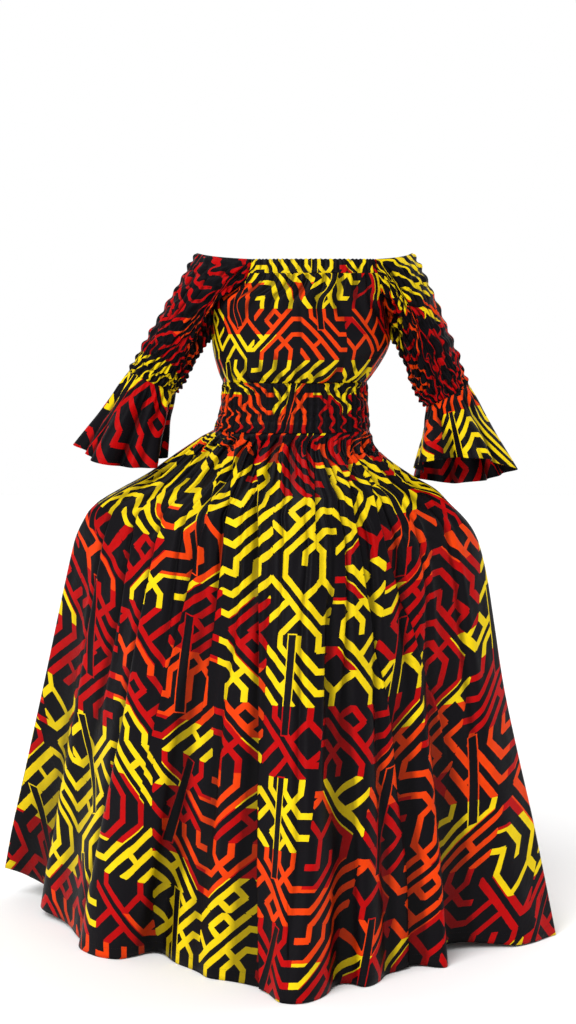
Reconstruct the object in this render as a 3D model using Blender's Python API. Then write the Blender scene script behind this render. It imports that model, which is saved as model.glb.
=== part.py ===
# An off-the-shoulder maxi dress in wax print cotton: neck bands, bodice, smocked sleeves with
# bell flounces, shirred waistband, full gathered skirt and two pockets in its side seams.
# Metres, +Z up. The front faces -Y. The origin is the middle of the waist, where a wearer holds it.

import math
from collections import namedtuple

import bpy
import numpy as np

WALL = 0.0015
SEAM_GAP = 0.0003

# How many steps across half of the waist, across a bodice panel and along a sleeve's neck edge.
# Every second column of the waistband is the top of a rib.
HALF_COLUMNS = 60
BODICE_COLUMNS = 26
NECK_SEGMENTS = 6
BAND_RIB_DEPTH = 0.0022
BAND_RIB_VALLEY = -0.6
SKIRT_GATHERS_EACH_HALF = 15
SKIRT_GATHER_DEPTH = 0.0075
GATHERS_START = -0.095
GATHERS_END = -0.225
SMOCK_DEPTH = 0.0036
SMOCK_LOW_SHARE = 0.1
SMOCK_ELASTIC_SHARE = -0.15
SMOCK_BANDS = 10
NECK_PUCKER = 0.0011
NECK_EDGE_PUCKER_SHARE = 0.6
# The gathers on the bodice under the neck band and over the waist: depth, waves and their turn.
YOKE_GATHER_DEPTH = 0.0042
YOKE_GATHERS = 9.5
YOKE_GATHERS_TURN = 0.6
BLOUSE_GATHER_DEPTH = 0.0036
BLOUSE_GATHERS = 12.5
BLOUSE_GATHERS_TURN = 1.1

# The torso, from the neck edge to the waist seam. right and left, the wearer's own, are the x
# where a panel ends: the armhole seam above the underarm, and the side seam under it.
# The edges are y there, and front and back are y at the middle.
TorsoRow = namedtuple("TorsoRow", "height right left edge_front edge_back front back")
TORSO = (
    (0.285, -0.080, 0.153, -0.105, 0.108, -0.118, 0.119),
    (0.272, -0.082, 0.155, -0.105, 0.107, -0.122, 0.119),
    (0.259, -0.086, 0.157, -0.104, 0.106, -0.127, 0.119),
    (0.245, -0.092, 0.160, -0.099, 0.102, -0.133, 0.119),
    (0.229, -0.110, 0.163, -0.088, 0.094, -0.137, 0.118),
    (0.213, -0.139, 0.167, -0.068, 0.078, -0.139, 0.118),
    (0.196, -0.152, 0.172, -0.048, 0.058, -0.140, 0.117),
    (0.177, -0.156, 0.179, -0.028, 0.036, -0.139, 0.116),
    (0.155, -0.158, 0.184, -0.011, 0.016, -0.138, 0.115),
    (0.133, -0.160, 0.187, 0.000, 0.000, -0.136, 0.114),
    (0.110, -0.157, 0.180, 0.000, 0.000, -0.133, 0.113),
    (0.088, -0.152, 0.168, 0.000, 0.000, -0.129, 0.113),
    (0.068, -0.146, 0.154, 0.000, 0.000, -0.122, 0.112),
    (0.052, -0.139, 0.142, 0.000, 0.000, -0.110, 0.108),
)
TORSO = [TorsoRow(*row) for row in TORSO]
NECK_BAND_ROWS = 3
UNDERARM_ROW = 9
# The torso's section grows squarer from the ribs up to the chest, by this much.
CHEST_FROM = 0.12
CHEST_TO = 0.24
CHEST_EVEN_SHARE = 0.6
ROUND_CROWN = 0.5
CHEST_CROWN = 0.18

# The neck edge of the sleeves, from the top of the armhole seam to the outermost point.
NeckRow = namedtuple("NeckRow", "right left front back height")
NECK = (
    (-0.080, 0.153, -0.105, 0.108, 0.285),
    (-0.112, 0.178, -0.098, 0.100, 0.287),
    (-0.143, 0.199, -0.081, 0.083, 0.290),
    (-0.168, 0.215, -0.055, 0.057, 0.294),
    (-0.183, 0.224, -0.028, 0.029, 0.298),
    (-0.188, 0.228, 0.000, 0.000, 0.300),
)
NECK = [NeckRow(*row) for row in NECK]

# The waistband's sections: half widths towards each side, and depths.
WaistRow = namedtuple("WaistRow", "height right left front back")
WAIST = (
    (0.052, 0.139, 0.142, 0.110, 0.108),
    (0.030, 0.140, 0.1425, 0.109, 0.108),
    (0.000, 0.144, 0.1445, 0.110, 0.109),
    (-0.022, 0.150, 0.146, 0.112, 0.112),
    (-0.042, 0.157, 0.147, 0.115, 0.116),
)
WAIST = [WaistRow(*row) for row in WAIST]
WAIST_SQUARENESS = 2.1
# How far the ribs stand out at each row of the waistband: the elastic rows draw them in.
BandRow = namedtuple("BandRow", "share ribs")
BAND_ROWS = ((0.0, 0.0), (0.12, 0.9), (0.28, 1.0), (0.42, 0.35), (0.58, 1.0), (0.72, 0.35),
             (0.88, 0.9), (1.0, 0.0))
BAND_ROWS = [BandRow(*row) for row in BAND_ROWS]

# The skirt's main sections. squareness is the exponent of the section: under 2 its sides are
# drawn out to a ridge, as two hands in the pockets hold them.
SkirtRow = namedtuple("SkirtRow", "height right left front back squareness fine")
SKIRT = (
    (-0.042, 0.157, 0.147, 0.115, 0.116, 2.10, True),
    (-0.074, 0.205, 0.153, 0.143, 0.146, 1.80, True),
    (-0.107, 0.255, 0.195, 0.162, 0.168, 1.62, True),
    (-0.135, 0.301, 0.238, 0.176, 0.184, 1.52, True),
    (-0.160, 0.350, 0.284, 0.187, 0.196, 1.46, True),
    (-0.190, 0.399, 0.316, 0.200, 0.209, 1.42, True),
    (-0.222, 0.419, 0.345, 0.212, 0.222, 1.40, False),
    (-0.262, 0.433, 0.362, 0.226, 0.236, 1.38, False),
    (-0.330, 0.450, 0.379, 0.249, 0.258, 1.36, False),
    (-0.430, 0.473, 0.395, 0.280, 0.288, 1.34, False),
    (-0.550, 0.500, 0.414, 0.313, 0.322, 1.32, False),
    (-0.680, 0.530, 0.442, 0.345, 0.354, 1.30, False),
    (-0.810, 0.560, 0.472, 0.375, 0.384, 1.28, False),
    (-0.930, 0.588, 0.497, 0.401, 0.410, 1.26, False),
    (-1.040, 0.610, 0.519, 0.424, 0.432, 1.24, False),
)
SKIRT = [SkirtRow(*row) for row in SKIRT]
# From this height down the sections turn into the hem's outline, slowly at first.
HEM_SHARE_STARTS = -0.16
HEM_SHARE_POWER = 0.8
CALM_SIDE_SHARE = 0.05
# The seam gapes between these rows: how far each side stands off, how much of that it is drawn
# in, and the share of the panel's width that moves with it.
POCKET_TOP_ROW = 3
POCKET_BOTTOM_ROW = 7
POCKET_GAPE = 0.030
POCKET_DRAWN_IN = 0.25
POCKET_EDGE_SHARE = 0.09
# Each ring of a pocket bag: how far in and down it lies, and its thickness and size.
PocketRing = namedtuple("PocketRing", "inwards drop thickness size")
POCKET_RINGS = (
    (0.020, -0.016, 0.90, 0.84),
    (0.058, -0.045, 0.75, 0.86),
    (0.090, -0.090, 0.55, 0.80),
    (0.105, -0.125, 0.30, 0.58),
)
POCKET_RINGS = [PocketRing(*row) for row in POCKET_RINGS]

# The hem's own outline, one row for each crest and valley: where it is, and how far it is lifted.
HemPoint = namedtuple("HemPoint", "x y lift")
HEM_FRONT = (
    (-0.610, 0.200, 0.060),
    (-0.560, 0.190, 0.046),
    (-0.512, 0.150, 0.030),
    (-0.520, 0.080, 0.016),
    (-0.462, 0.010, 0.008),
    (-0.430, -0.070, 0.004),
    (-0.405, -0.150, 0.000),
    (-0.335, -0.195, 0.000),
    (-0.268, -0.168, 0.004),
    (-0.222, -0.222, 0.000),
    (-0.165, -0.290, 0.000),
    (-0.112, -0.318, 0.000),
    (-0.070, -0.362, 0.002),
    (-0.030, -0.424, 0.000),
    (0.022, -0.420, 0.000),
    (0.066, -0.378, 0.000),
    (0.092, -0.338, 0.002),
    (0.132, -0.340, 0.000),
    (0.180, -0.285, 0.000),
    (0.228, -0.238, 0.003),
    (0.292, -0.236, 0.000),
    (0.300, -0.158, 0.014),
    (0.370, -0.132, 0.010),
    (0.440, -0.118, 0.003),
    (0.519, -0.050, 0.000),
)
HEM_BACK = (
    (0.519, -0.050, 0.000),
    (0.512, 0.030, 0.003),
    (0.468, 0.078, 0.006),
    (0.462, 0.150, 0.000),
    (0.398, 0.196, 0.003),
    (0.352, 0.262, 0.000),
    (0.286, 0.272, 0.005),
    (0.262, 0.330, 0.000),
    (0.192, 0.372, 0.000),
    (0.140, 0.366, 0.005),
    (0.098, 0.420, 0.000),
    (0.020, 0.436, 0.000),
    (-0.036, 0.400, 0.006),
    (-0.098, 0.428, 0.000),
    (-0.176, 0.420, 0.000),
    (-0.228, 0.372, 0.007),
    (-0.290, 0.390, 0.004),
    (-0.352, 0.368, 0.009),
    (-0.402, 0.312, 0.016),
    (-0.478, 0.318, 0.026),
    (-0.548, 0.262, 0.044),
    (-0.610, 0.200, 0.060),
)
HEM_FRONT = [HemPoint(*row) for row in HEM_FRONT]
HEM_BACK = [HemPoint(*row) for row in HEM_BACK]

# Long folds: x at the waist and at the hem, how deep and wide, and the height where each starts.
Fold = namedtuple("Fold", "waist hem depth width starts")
FOLDS_FRONT = (
    (-0.069, -0.070, 0.013, 0.022, -0.07),
    (0.046, 0.090, 0.014, 0.016, -0.25),
    (-0.118, -0.190, 0.010, 0.019, -0.10),
    (0.100, 0.200, 0.009, 0.020, -0.12),
    (-0.020, 0.014, 0.006, 0.020, -0.34),
    (-0.140, -0.300, 0.009, 0.022, -0.18),
    (0.135, 0.330, 0.010, 0.022, -0.20),
)
FOLDS_BACK = (
    (-0.100, -0.200, 0.012, 0.020, -0.06),
    (-0.050, -0.065, 0.012, 0.016, -0.06),
    (0.020, 0.060, 0.013, 0.016, -0.06),
    (0.085, 0.165, 0.012, 0.018, -0.06),
    (0.130, 0.290, 0.011, 0.022, -0.16),
    (-0.140, -0.310, 0.010, 0.022, -0.16),
)
FOLDS_FRONT = [Fold(*row) for row in FOLDS_FRONT]
FOLDS_BACK = [Fold(*row) for row in FOLDS_BACK]
# How wide a fold is at the waist and at the hem, as a share of its width, and how it wanders.
FOLD_WAIST_WIDTH = 0.8
FOLD_HEM_WIDTH = 2.0
FOLD_WANDER = 0.6
FOLD_FADE_IN = 0.14

# Each sleeve: the two ends of its lower seam, seen from the front, the depth of the arm there,
# and the flounce's hem: its two ends, its depth, how far the front is lifted, and its waves.
SLEEVES = {
    "right": {
        "outer": (-0.3230, 0.0720),
        "inner": (-0.2310, 0.0300),
        "arm_y": 0.018,
        "arm_depth": 0.048,
        "plump": 0.005,
        "hem_outer": (-0.4170, -0.0770),
        "hem_inner": (-0.2570, -0.1000),
        "hem_y": 0.004,
        "hem_depth": 0.078,
        "front_lift": -0.020,
        "waves": 5,
        "wave": 0.013,
        "wave_turn": 0.9,
    },
    "left": {
        "outer": (0.3420, 0.0450),
        "inner": (0.2590, 0.0030),
        "arm_y": 0.018,
        "arm_depth": 0.047,
        "plump": 0.010,
        "hem_outer": (0.4190, -0.1220),
        "hem_inner": (0.2350, -0.1220),
        "hem_y": 0.006,
        "hem_depth": 0.084,
        "front_lift": 0.032,
        "waves": 5,
        "wave": 0.015,
        "wave_turn": 0.4,
    },
}
# How far a sleeve keeps its first and last directions, and how much it spreads as it ends.
SLEEVE_EASE = 0.62
SLEEVE_END_SPREAD = 0.75
# Which way the sleeve cloth leaves the armhole ring, from the outermost point to the underarm.
SleeveWay = namedtuple("SleeveWay", "outwards forwards down")
SLEEVE_START = (
    (0.40, 0.00, 0.92),
    (0.50, 0.30, 0.80),
    (0.75, 0.20, 0.52),
    (0.97, 0.05, 0.05),
    (0.99, 0.00, 0.10),
    (0.90, 0.00, 0.44),
)
SLEEVE_START = [SleeveWay(*row) for row in SLEEVE_START]
FLOUNCE_ROWS = 5
FLOUNCE_SWELL = -0.004
# The flounce's gathers end at this share of its length.
FLOUNCE_GATHERS = 10
FLOUNCE_GATHER_DEPTH = 0.003
FLOUNCE_GATHERS_END = 0.62

# The print seen from afar, and the plain dark cotton of the pocket bags. Edges sharper than
# this are shown as edges.
PRINT_COLOUR = (0.36, 0.11, 0.012)
POCKET_COLOUR = (0.016, 0.013, 0.018)
COTTON_ROUGHNESS = 0.6
SHARP_DEGREES = 50


def through(rows, count):
    """Points on a smooth curve through the rows, the same number of steps between each pair."""
    rows = np.asarray(rows, float)
    places = np.linspace(0, len(rows) - 1, count + 1)
    return np.array([spline_at(rows, place) for place in places])


def spline_at(rows, place):
    first = min(int(place), len(rows) - 2)
    share = place - first
    before = rows[first - 1] if first > 0 else 2 * rows[0] - rows[1]
    after = rows[first + 2] if first + 2 < len(rows) else 2 * rows[-1] - rows[-2]
    a, b = rows[first], rows[first + 1]
    return 0.5 * (
        2 * a
        + (b - before) * share
        + (2 * before - 5 * a + 4 * b - after) * share**2
        + (3 * a - before - 3 * b + after) * share**3
    )


def at_shares(points, shares):
    """Points at these shares of the polyline's length."""
    steps = np.linalg.norm(np.diff(points[:, :2], axis=0), axis=1)
    along = np.concatenate([[0], np.cumsum(steps)])
    along = along / along[-1]
    return np.stack([np.interp(shares, along, points[:, k]) for k in range(points.shape[1])], axis=1)


def smooth_step(low, high, value):
    share = np.clip((value - low) / (high - low), 0, 1)
    return share * share * (3 - 2 * share)


def half_section(right, left, depth, squareness, shares):
    """x and y along half of a section, from the wearer's right end to the left end."""
    turn = np.linspace(0, math.pi, 241)
    across = -np.cos(turn)
    width = np.where(across < 0, right, left)
    x = width * np.sign(across) * np.abs(across) ** (2 / squareness)
    y = depth * np.abs(np.sin(turn)) ** (2 / squareness)
    return at_shares(np.stack([x, y], axis=1), shares)


def torso_row(row, facing):
    """One row of a bodice panel or neck band. facing is -1 for the front and 1 for the back."""
    size = TORSO[row]
    edge = size.edge_front if facing < 0 else size.edge_back
    deepest = size.front if facing < 0 else size.back
    shares = np.linspace(0, 1, BODICE_COLUMNS + 1)
    above = smooth_step(CHEST_FROM, CHEST_TO, size.height)
    even = CHEST_EVEN_SHARE * above
    across = (1 - even) * -np.cos(math.pi * shares) + even * (2 * shares - 1)
    crown = np.clip(1 - across**2, 0, 1) ** (ROUND_CROWN + CHEST_CROWN * above)
    x = (size.right + size.left) / 2 + across * (size.left - size.right) / 2
    y = edge + (deepest - edge) * crown
    band_seam = TORSO[NECK_BAND_ROWS - 1].height
    waist_seam = TORSO[-1].height
    under_band = smooth_step(CHEST_FROM, band_seam, size.height) * (size.height <= band_seam)
    over_waist = (1 - smooth_step(waist_seam, CHEST_FROM, size.height)) * (size.height > waist_seam)
    wave = YOKE_GATHER_DEPTH * under_band * np.cos(
        2 * math.pi * YOKE_GATHERS * shares + YOKE_GATHERS_TURN)
    wave += BLOUSE_GATHER_DEPTH * over_waist * np.cos(
        2 * math.pi * BLOUSE_GATHERS * shares + BLOUSE_GATHERS_TURN)
    if row < NECK_BAND_ROWS - 1:
        puckers = np.where(np.arange(BODICE_COLUMNS + 1) % 2, -1.0, 1.0)
        wave += NECK_PUCKER * puckers * (1.0 if row else NECK_EDGE_PUCKER_SHARE)
    y = y + facing * wave * np.sin(math.pi * shares) ** 0.7
    points = np.stack([x, y, np.full_like(x, size.height)], axis=1)
    return points if facing < 0 else points[::-1]


def waist_row(share, facing, ribs):
    """One row of the waistband, from its top at share 0 to its bottom at share 1."""
    place = share * (len(WAIST) - 1)
    size = WaistRow(*spline_at(np.array(WAIST), place))
    shares = np.linspace(0, 1, HALF_COLUMNS + 1)
    depth = size.front if facing < 0 else size.back
    section = half_section(size.right, size.left, depth, WAIST_SQUARENESS, shares)
    section[:, 1] *= facing
    outward = section - np.array([0.5 * (size.left - size.right), 0])
    outward /= np.linalg.norm(outward, axis=1)[:, None]
    rib = np.where(np.arange(HALF_COLUMNS + 1) % 2, 1.0, BAND_RIB_VALLEY) * ribs * BAND_RIB_DEPTH
    rib[0] = rib[-1] = 0
    section = section + outward * rib[:, None]
    points = np.column_stack([section, np.full(len(section), size.height)])
    return points if facing < 0 else points[::-1]


def skirt_row(row, facing, shares):
    """One row of a skirt panel at these shares of its width, counted from the wearer's right."""
    size, last = SKIRT[row], SKIRT[-1]
    depth = size.front if facing < 0 else size.back
    section = half_section(size.right, size.left, depth, size.squareness, shares)
    section[:, 1] *= facing
    hem = through(HEM_FRONT if facing < 0 else HEM_BACK[::-1], 240)
    hem = at_shares(hem, shares)
    widths = np.where(hem[:, 0] < 0, size.right / last.right, size.left / last.left)
    depths = (size.front + size.back) / (last.front + last.back)
    down = np.clip((HEM_SHARE_STARTS - size.height) / (HEM_SHARE_STARTS - last.height), 0, 1)
    hem_part = down**HEM_SHARE_POWER
    x = (1 - hem_part) * section[:, 0] + hem_part * hem[:, 0] * widths
    y = (1 - hem_part) * section[:, 1] + hem_part * hem[:, 1] * depths
    z = size.height + hem[:, 2] * hem_part**2
    points = np.stack([x, y, z], axis=1)
    if row:
        points[:, :2] += skirt_folds(points, row, facing, shares)
    return points


def skirt_folds(points, row, facing, shares):
    """How far gathers and long folds move each point of a row, along the section's normal."""
    height = SKIRT[row].height
    along = np.gradient(points[:, :2], axis=0)
    normal = np.stack([along[:, 1], -along[:, 0]], axis=1) * -facing
    normal /= np.linalg.norm(normal, axis=1)[:, None]
    calm = smooth_step(0, CALM_SIDE_SHARE, np.minimum(shares, 1 - shares))
    fading = 1 - smooth_step(GATHERS_START, GATHERS_END, height)
    turns = 2 * math.pi * SKIRT_GATHERS_EACH_HALF * shares
    uneven = 0.8 + 0.25 * np.sin(7.3 * shares + facing) + 0.15 * np.sin(17.1 * shares)
    move = SKIRT_GATHER_DEPTH * fading * uneven * np.cos(turns + math.pi)
    down = smooth_step(SKIRT[0].height, SKIRT[-1].height, height)
    for fold in FOLDS_FRONT if facing < 0 else FOLDS_BACK:
        centre = fold.waist + (fold.hem - fold.waist) * down**FOLD_WANDER
        spread = fold.width * (FOLD_WAIST_WIDTH + (FOLD_HEM_WIDTH - FOLD_WAIST_WIDTH) * down)
        strength = smooth_step(fold.starts, fold.starts - FOLD_FADE_IN, height)
        move -= fold.depth * strength * np.exp(-(((points[:, 0] - centre) / spread) ** 2))
    return normal * (move * calm)[:, None]


def skirt_panel(facing):
    """The rows of a skirt panel, and the pocket edge's points at each end."""
    fine = np.linspace(0, 1, HALF_COLUMNS + 1)
    hem = np.asarray(HEM_FRONT if facing < 0 else HEM_BACK[::-1])
    curve = through(hem, (len(hem) - 1) * 8)
    steps = np.linalg.norm(np.diff(curve[:, :2], axis=0), axis=1)
    knots = np.concatenate([[0], np.cumsum(steps)])[::4]
    coarse = knots / knots[-1]
    rows = []
    for row in range(len(SKIRT)):
        points = skirt_row(row, facing, fine if SKIRT[row].fine else coarse)
        if POCKET_TOP_ROW < row < POCKET_BOTTOM_ROW:
            share = (row - POCKET_TOP_ROW) / (POCKET_BOTTOM_ROW - POCKET_TOP_ROW)
            gape = POCKET_GAPE * math.sin(math.pi * share)
            across = np.linspace(0, 1, len(points))
            near = 1 - smooth_step(0, POCKET_EDGE_SHARE, np.minimum(across, 1 - across))
            points[:, 1] += facing * gape * near
            points[:, 0] -= np.sign(points[:, 0]) * POCKET_DRAWN_IN * gape * near
        rows.append(points if facing < 0 else points[::-1])
    return rows


def armhole(side):
    """The ring where a sleeve starts: along the neck edge, down the armhole seam and back up."""
    neck = [NeckRow(*row) for row in through(NECK, NECK_SEGMENTS)]
    neck_front = [(getattr(row, side), row.front, row.height) for row in neck]
    neck_back = [(getattr(row, side), row.back, row.height) for row in neck]
    seams = TORSO[: UNDERARM_ROW + 1]
    seam_front = [(getattr(row, side), row.edge_front, row.height) for row in seams]
    seam_back = [(getattr(row, side), row.edge_back, row.height) for row in seams]
    ring = np.array(neck_front[:0:-1] + seam_front + seam_back[-2:0:-1] + neck_back[:-1])
    if side == "left":
        ring = np.concatenate([ring[:1], ring[:0:-1]])
    return ring


def ellipse_ring(outer, inner, middle_y, depth, count, side):
    """A ring across an arm, from its outer end round by the front, or by the back on the left."""
    outer, inner = np.array(outer), np.array(inner)
    turn = 2 * math.pi * np.arange(count) / count
    towards = -1 if side == "right" else 1
    flat = (outer + inner) / 2 + (outer - inner) / 2 * np.cos(turn)[:, None]
    y = middle_y + towards * depth * np.sin(turn)
    return np.stack([flat[:, 0], y, flat[:, 1]], axis=1)


def outward(ring):
    """Which way each point of a ring lies from the ring's middle."""
    away = ring - ring.mean(axis=0)
    return away / np.linalg.norm(away, axis=1)[:, None]


def sleeve_rows(side, count):
    """Plain rings of the sleeve from the armhole ring to its lower seam."""
    size = SLEEVES[side]
    start = armhole(side)
    half = len(start) // 2
    end = ellipse_ring(size["outer"], size["inner"], size["arm_y"], size["arm_depth"], len(start), side)
    ways = through(SLEEVE_START, len(start) // 2 // (len(SLEEVE_START) - 1) * (len(SLEEVE_START) - 1))
    ways = np.concatenate([ways, ways[-2:0:-1]])
    outwards = -1 if side == "right" else 1
    forwards = np.where(np.arange(len(start)) <= half, -1, 1) * (1 if side == "right" else -1)
    leave = np.stack([ways[:, 0] * outwards, ways[:, 1] * forwards, -ways[:, 2]], axis=1)
    leave /= np.linalg.norm(leave, axis=1)[:, None]
    arrive = unit(np.array([outwards * SLEEVE_END_SPREAD, 0, -1]))
    reach = SLEEVE_EASE * np.linalg.norm(end - start, axis=1)[:, None]
    rows = []
    for t in np.linspace(0, 1, count + 1):
        ring = (
            (2 * t**3 - 3 * t**2 + 1) * start
            + (t**3 - 2 * t**2 + t) * leave * reach
            + (3 * t**2 - 2 * t**3) * end
            + (t**3 - t**2) * arrive * reach
        )
        rows.append(ring + outward(ring) * size["plump"] * math.sin(math.pi * t))
    return rows


def smocked(rows):
    """The same rings with their points raised: puffs between rows of elastic, every second one."""
    raised = [rows[0]]
    for index in range(1, len(rows) - 1):
        ring = rows[index]
        away = outward(ring)
        puff = index % 2
        columns = (np.arange(len(ring)) + index // 2) % 2
        low = np.full(len(ring), SMOCK_ELASTIC_SHARE)
        height = np.where(columns, 1.0, SMOCK_LOW_SHARE) if puff else low
        raised.append(ring + away * (SMOCK_DEPTH * height)[:, None])
    raised.append(rows[-1])
    return raised


def flounce_rows(side):
    size = SLEEVES[side]
    count = len(armhole(side))
    start = ellipse_ring(size["outer"], size["inner"], size["arm_y"], size["arm_depth"], count, side)
    end = ellipse_ring(size["hem_outer"], size["hem_inner"], size["hem_y"], size["hem_depth"], count, side)
    turn = 2 * math.pi * np.arange(count) / count
    centre = end.mean(axis=0)
    away = (end - centre) / np.linalg.norm(end - centre, axis=1)[:, None]
    frontness = -(end[:, 1] - size["hem_y"]) / size["hem_depth"]
    end = end + away * (size["wave"] * np.cos(size["waves"] * turn + size["wave_turn"]))[:, None]
    end[:, 2] += size["front_lift"] * frontness
    rows = []
    for share in np.linspace(0, 1, FLOUNCE_ROWS + 1):
        ring = (1 - share) * start + share * end
        swell = FLOUNCE_SWELL * math.sin(math.pi * share) * (1 - share)
        gathers = FLOUNCE_GATHER_DEPTH * math.sin(math.pi * min(1.0, share / FLOUNCE_GATHERS_END))
        ring = ring + away * (swell + gathers * np.cos(FLOUNCE_GATHERS * turn))[:, None]
        rows.append(ring)
    return rows


def pocket_rows(side, front, back):
    """Rings of a pocket bag, from the gaping seam to its bottom fold inside the skirt."""
    end = 0 if side == "right" else -1
    inward = 1 if side == "right" else -1
    rows = range(POCKET_TOP_ROW, POCKET_BOTTOM_ROW + 1)
    front_edge = np.array([front[row][end] for row in rows])
    back_edge = np.array([back[row][-1 - end if end else -1] for row in rows])
    ring = np.concatenate([front_edge, back_edge[-2:0:-1]])
    if side == "left":
        ring = np.concatenate([ring[:1], ring[:0:-1]])
    centre = ring.mean(axis=0)
    rings = [ring]
    for row in POCKET_RINGS:
        shrunk = (ring - centre) * np.array([row.size, row.thickness, row.size])
        rings.append(centre + shrunk + np.array([inward * row.inwards, 0, row.drop]))
    return rings


def bridge(first, second, closed):
    """Triangles between two rows of point numbers that need not be equally many."""
    a, b = list(first), list(second)
    if closed:
        a, b = a + a[:1], b + b[:1]
    faces = []
    i = j = 0
    while i < len(a) - 1 or j < len(b) - 1:
        next_a = (i + 1) / (len(a) - 1) if i < len(a) - 1 else 2
        next_b = (j + 1) / (len(b) - 1) if j < len(b) - 1 else 2
        if abs(next_a - next_b) < 1e-6:
            faces += [(a[i], b[j], b[j + 1]), (a[i], b[j + 1], a[i + 1])]
            i, j = i + 1, j + 1
        elif next_a < next_b:
            faces.append((a[i], b[j], a[i + 1]))
            i += 1
        else:
            faces.append((a[i], b[j], b[j + 1]))
            j += 1
    return faces


def edge_faces(outer, inner, keys, closed, facing_up):
    """The narrow faces along a seam. Both pieces there split them the same way, by the keys."""
    outer, inner, keys = list(outer), list(inner), list(keys)
    if closed:
        outer, inner, keys = outer + outer[:1], inner + inner[:1], keys + keys[:1]
    faces = []
    for k in range(len(outer) - 1):
        near, far = (outer[k], inner[k]), (outer[k + 1], inner[k + 1])
        if keys[k] < keys[k + 1]:
            faces += [(near[0], near[1], far[1]), (near[0], far[1], far[0])]
        else:
            faces += [(near[0], near[1], far[0]), (near[1], far[1], far[0])]
    return [face[::-1] for face in faces] if facing_up else faces


class Piece:
    """One cut piece of cloth: rows of points from top to bottom, anticlockwise from above."""

    def __init__(self, name, rows, closed=False, plain=None, ends_shut=False):
        self.name, self.closed, self.ends_shut = name, closed, ends_shut
        self.rows = [np.asarray(row, float) for row in rows]
        self.plain = self.rows if plain is None else [np.asarray(row, float) for row in plain]

    def grid(self, rows):
        points = np.concatenate(rows)
        starts = np.cumsum([0] + [len(row) for row in rows])
        numbers = [list(range(starts[k], starts[k + 1])) for k in range(len(rows))]
        faces = []
        for upper, lower in zip(numbers, numbers[1:]):
            faces += bridge(upper, lower, self.closed)
        return points, numbers, faces


def key_of(point):
    return tuple(np.round(point * 1e5).astype(int))


def unit(vector):
    return vector / (np.linalg.norm(vector) + 1e-12)


def shared_normals(pieces):
    """The normal at each point, averaged over every piece that meets there."""
    total = {}
    for piece in pieces:
        for key, normal in {**own_normals(piece, piece.rows), **own_normals(piece, piece.plain)}.items():
            total[key] = total.get(key, 0) + unit(normal)
    return {key: unit(value) for key, value in total.items()}


def own_normals(piece, rows):
    found = {}
    points, _, faces = piece.grid(rows)
    for face in faces:
        corners = points[list(face)]
        normal = np.cross(corners[1] - corners[0], corners[2] - corners[0])
        for corner in corners:
            found[key_of(corner)] = found.get(key_of(corner), 0) + normal
    return found


def pull(point, inner_point, normals):
    """Half of the seam gap, from a point on an edge towards the piece's own cloth, across the seam."""
    normal = normals[key_of(point)]
    way = inner_point - point
    return unit(way - normal * (way @ normal)) * SEAM_GAP / 2


def drawn_in(rows, closed, normals):
    """The rows with their outer edges pulled back from the neighbouring pieces."""
    pulled = [row.copy() for row in rows]
    for edge, inner in ((0, 1), (-1, -2)):
        nearest = np.linspace(0, len(rows[inner]) - 1, len(rows[edge])).round().astype(int)
        for k, source in enumerate(rows[edge]):
            pulled[edge][k] += pull(source, rows[inner][nearest[k]], normals)
    if not closed:
        for row, source in zip(pulled, rows):
            row[0] += pull(source[0], source[1], normals)
            row[-1] += pull(source[-1], source[-2], normals)
    return pulled


def wall_mesh(piece, normals):
    """A closed wall: the outer rows, the plain rows moved inwards, and the edges between them."""
    outer = drawn_in(piece.rows, piece.closed, normals)
    inner = [
        moved - WALL * np.array([normals[key_of(point)] for point in source])
        for moved, source in zip(drawn_in(piece.plain, piece.closed, normals), piece.plain)
    ]
    outer_points, outer_numbers, outer_faces = piece.grid(outer)
    inner_points, inner_numbers, inner_faces = piece.grid(inner)
    first = len(outer_points)
    inner_numbers = [[number + first for number in row] for row in inner_numbers]
    faces = list(outer_faces)
    faces += [tuple(number + first for number in face[::-1]) for face in inner_faces]
    keys = [[key_of(point) for point in row] for row in piece.rows]
    faces += edge_faces(outer_numbers[0], inner_numbers[0], keys[0], piece.closed, True)
    if piece.ends_shut:
        for numbers, turned in ((outer_numbers[-1], True), (inner_numbers[-1], False)):
            shut = [(numbers[0], numbers[k], numbers[k + 1]) for k in range(1, len(numbers) - 1)]
            faces += [face[::-1] for face in shut] if turned else shut
    else:
        faces += edge_faces(outer_numbers[-1], inner_numbers[-1], keys[-1], piece.closed, False)
    for end in () if piece.closed else (0, -1):
        sides = [[row[end] for row in numbers] for numbers in (outer_numbers, inner_numbers)]
        if len(sides[0]) == len(sides[1]):
            faces += edge_faces(*sides, [row[end] for row in keys], False, end == -1)
        else:
            seam = bridge(*sides, False)
            faces += [face[::-1] for face in seam] if end else seam
    return np.concatenate([outer_points, inner_points]), faces


def cloth_material(name, colour):
    material = bpy.data.materials.new(name)
    material.use_nodes = True
    shader = material.node_tree.nodes["Principled BSDF"]
    shader.inputs["Base Color"].default_value = (*colour, 1)
    shader.inputs["Roughness"].default_value = COTTON_ROUGHNESS
    material.diffuse_color = (*colour, 1)
    return material


def add_wall(piece, normals, collection, material):
    points, faces = wall_mesh(piece, normals)
    mesh = bpy.data.meshes.new(piece.name)
    mesh.from_pydata([tuple(point) for point in points], [], faces)
    mesh.materials.append(material)
    mesh.shade_smooth()
    mesh.set_sharp_from_angle(angle=math.radians(SHARP_DEGREES))
    mesh.update()
    collection.objects.link(bpy.data.objects.new(piece.name, mesh))


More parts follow.
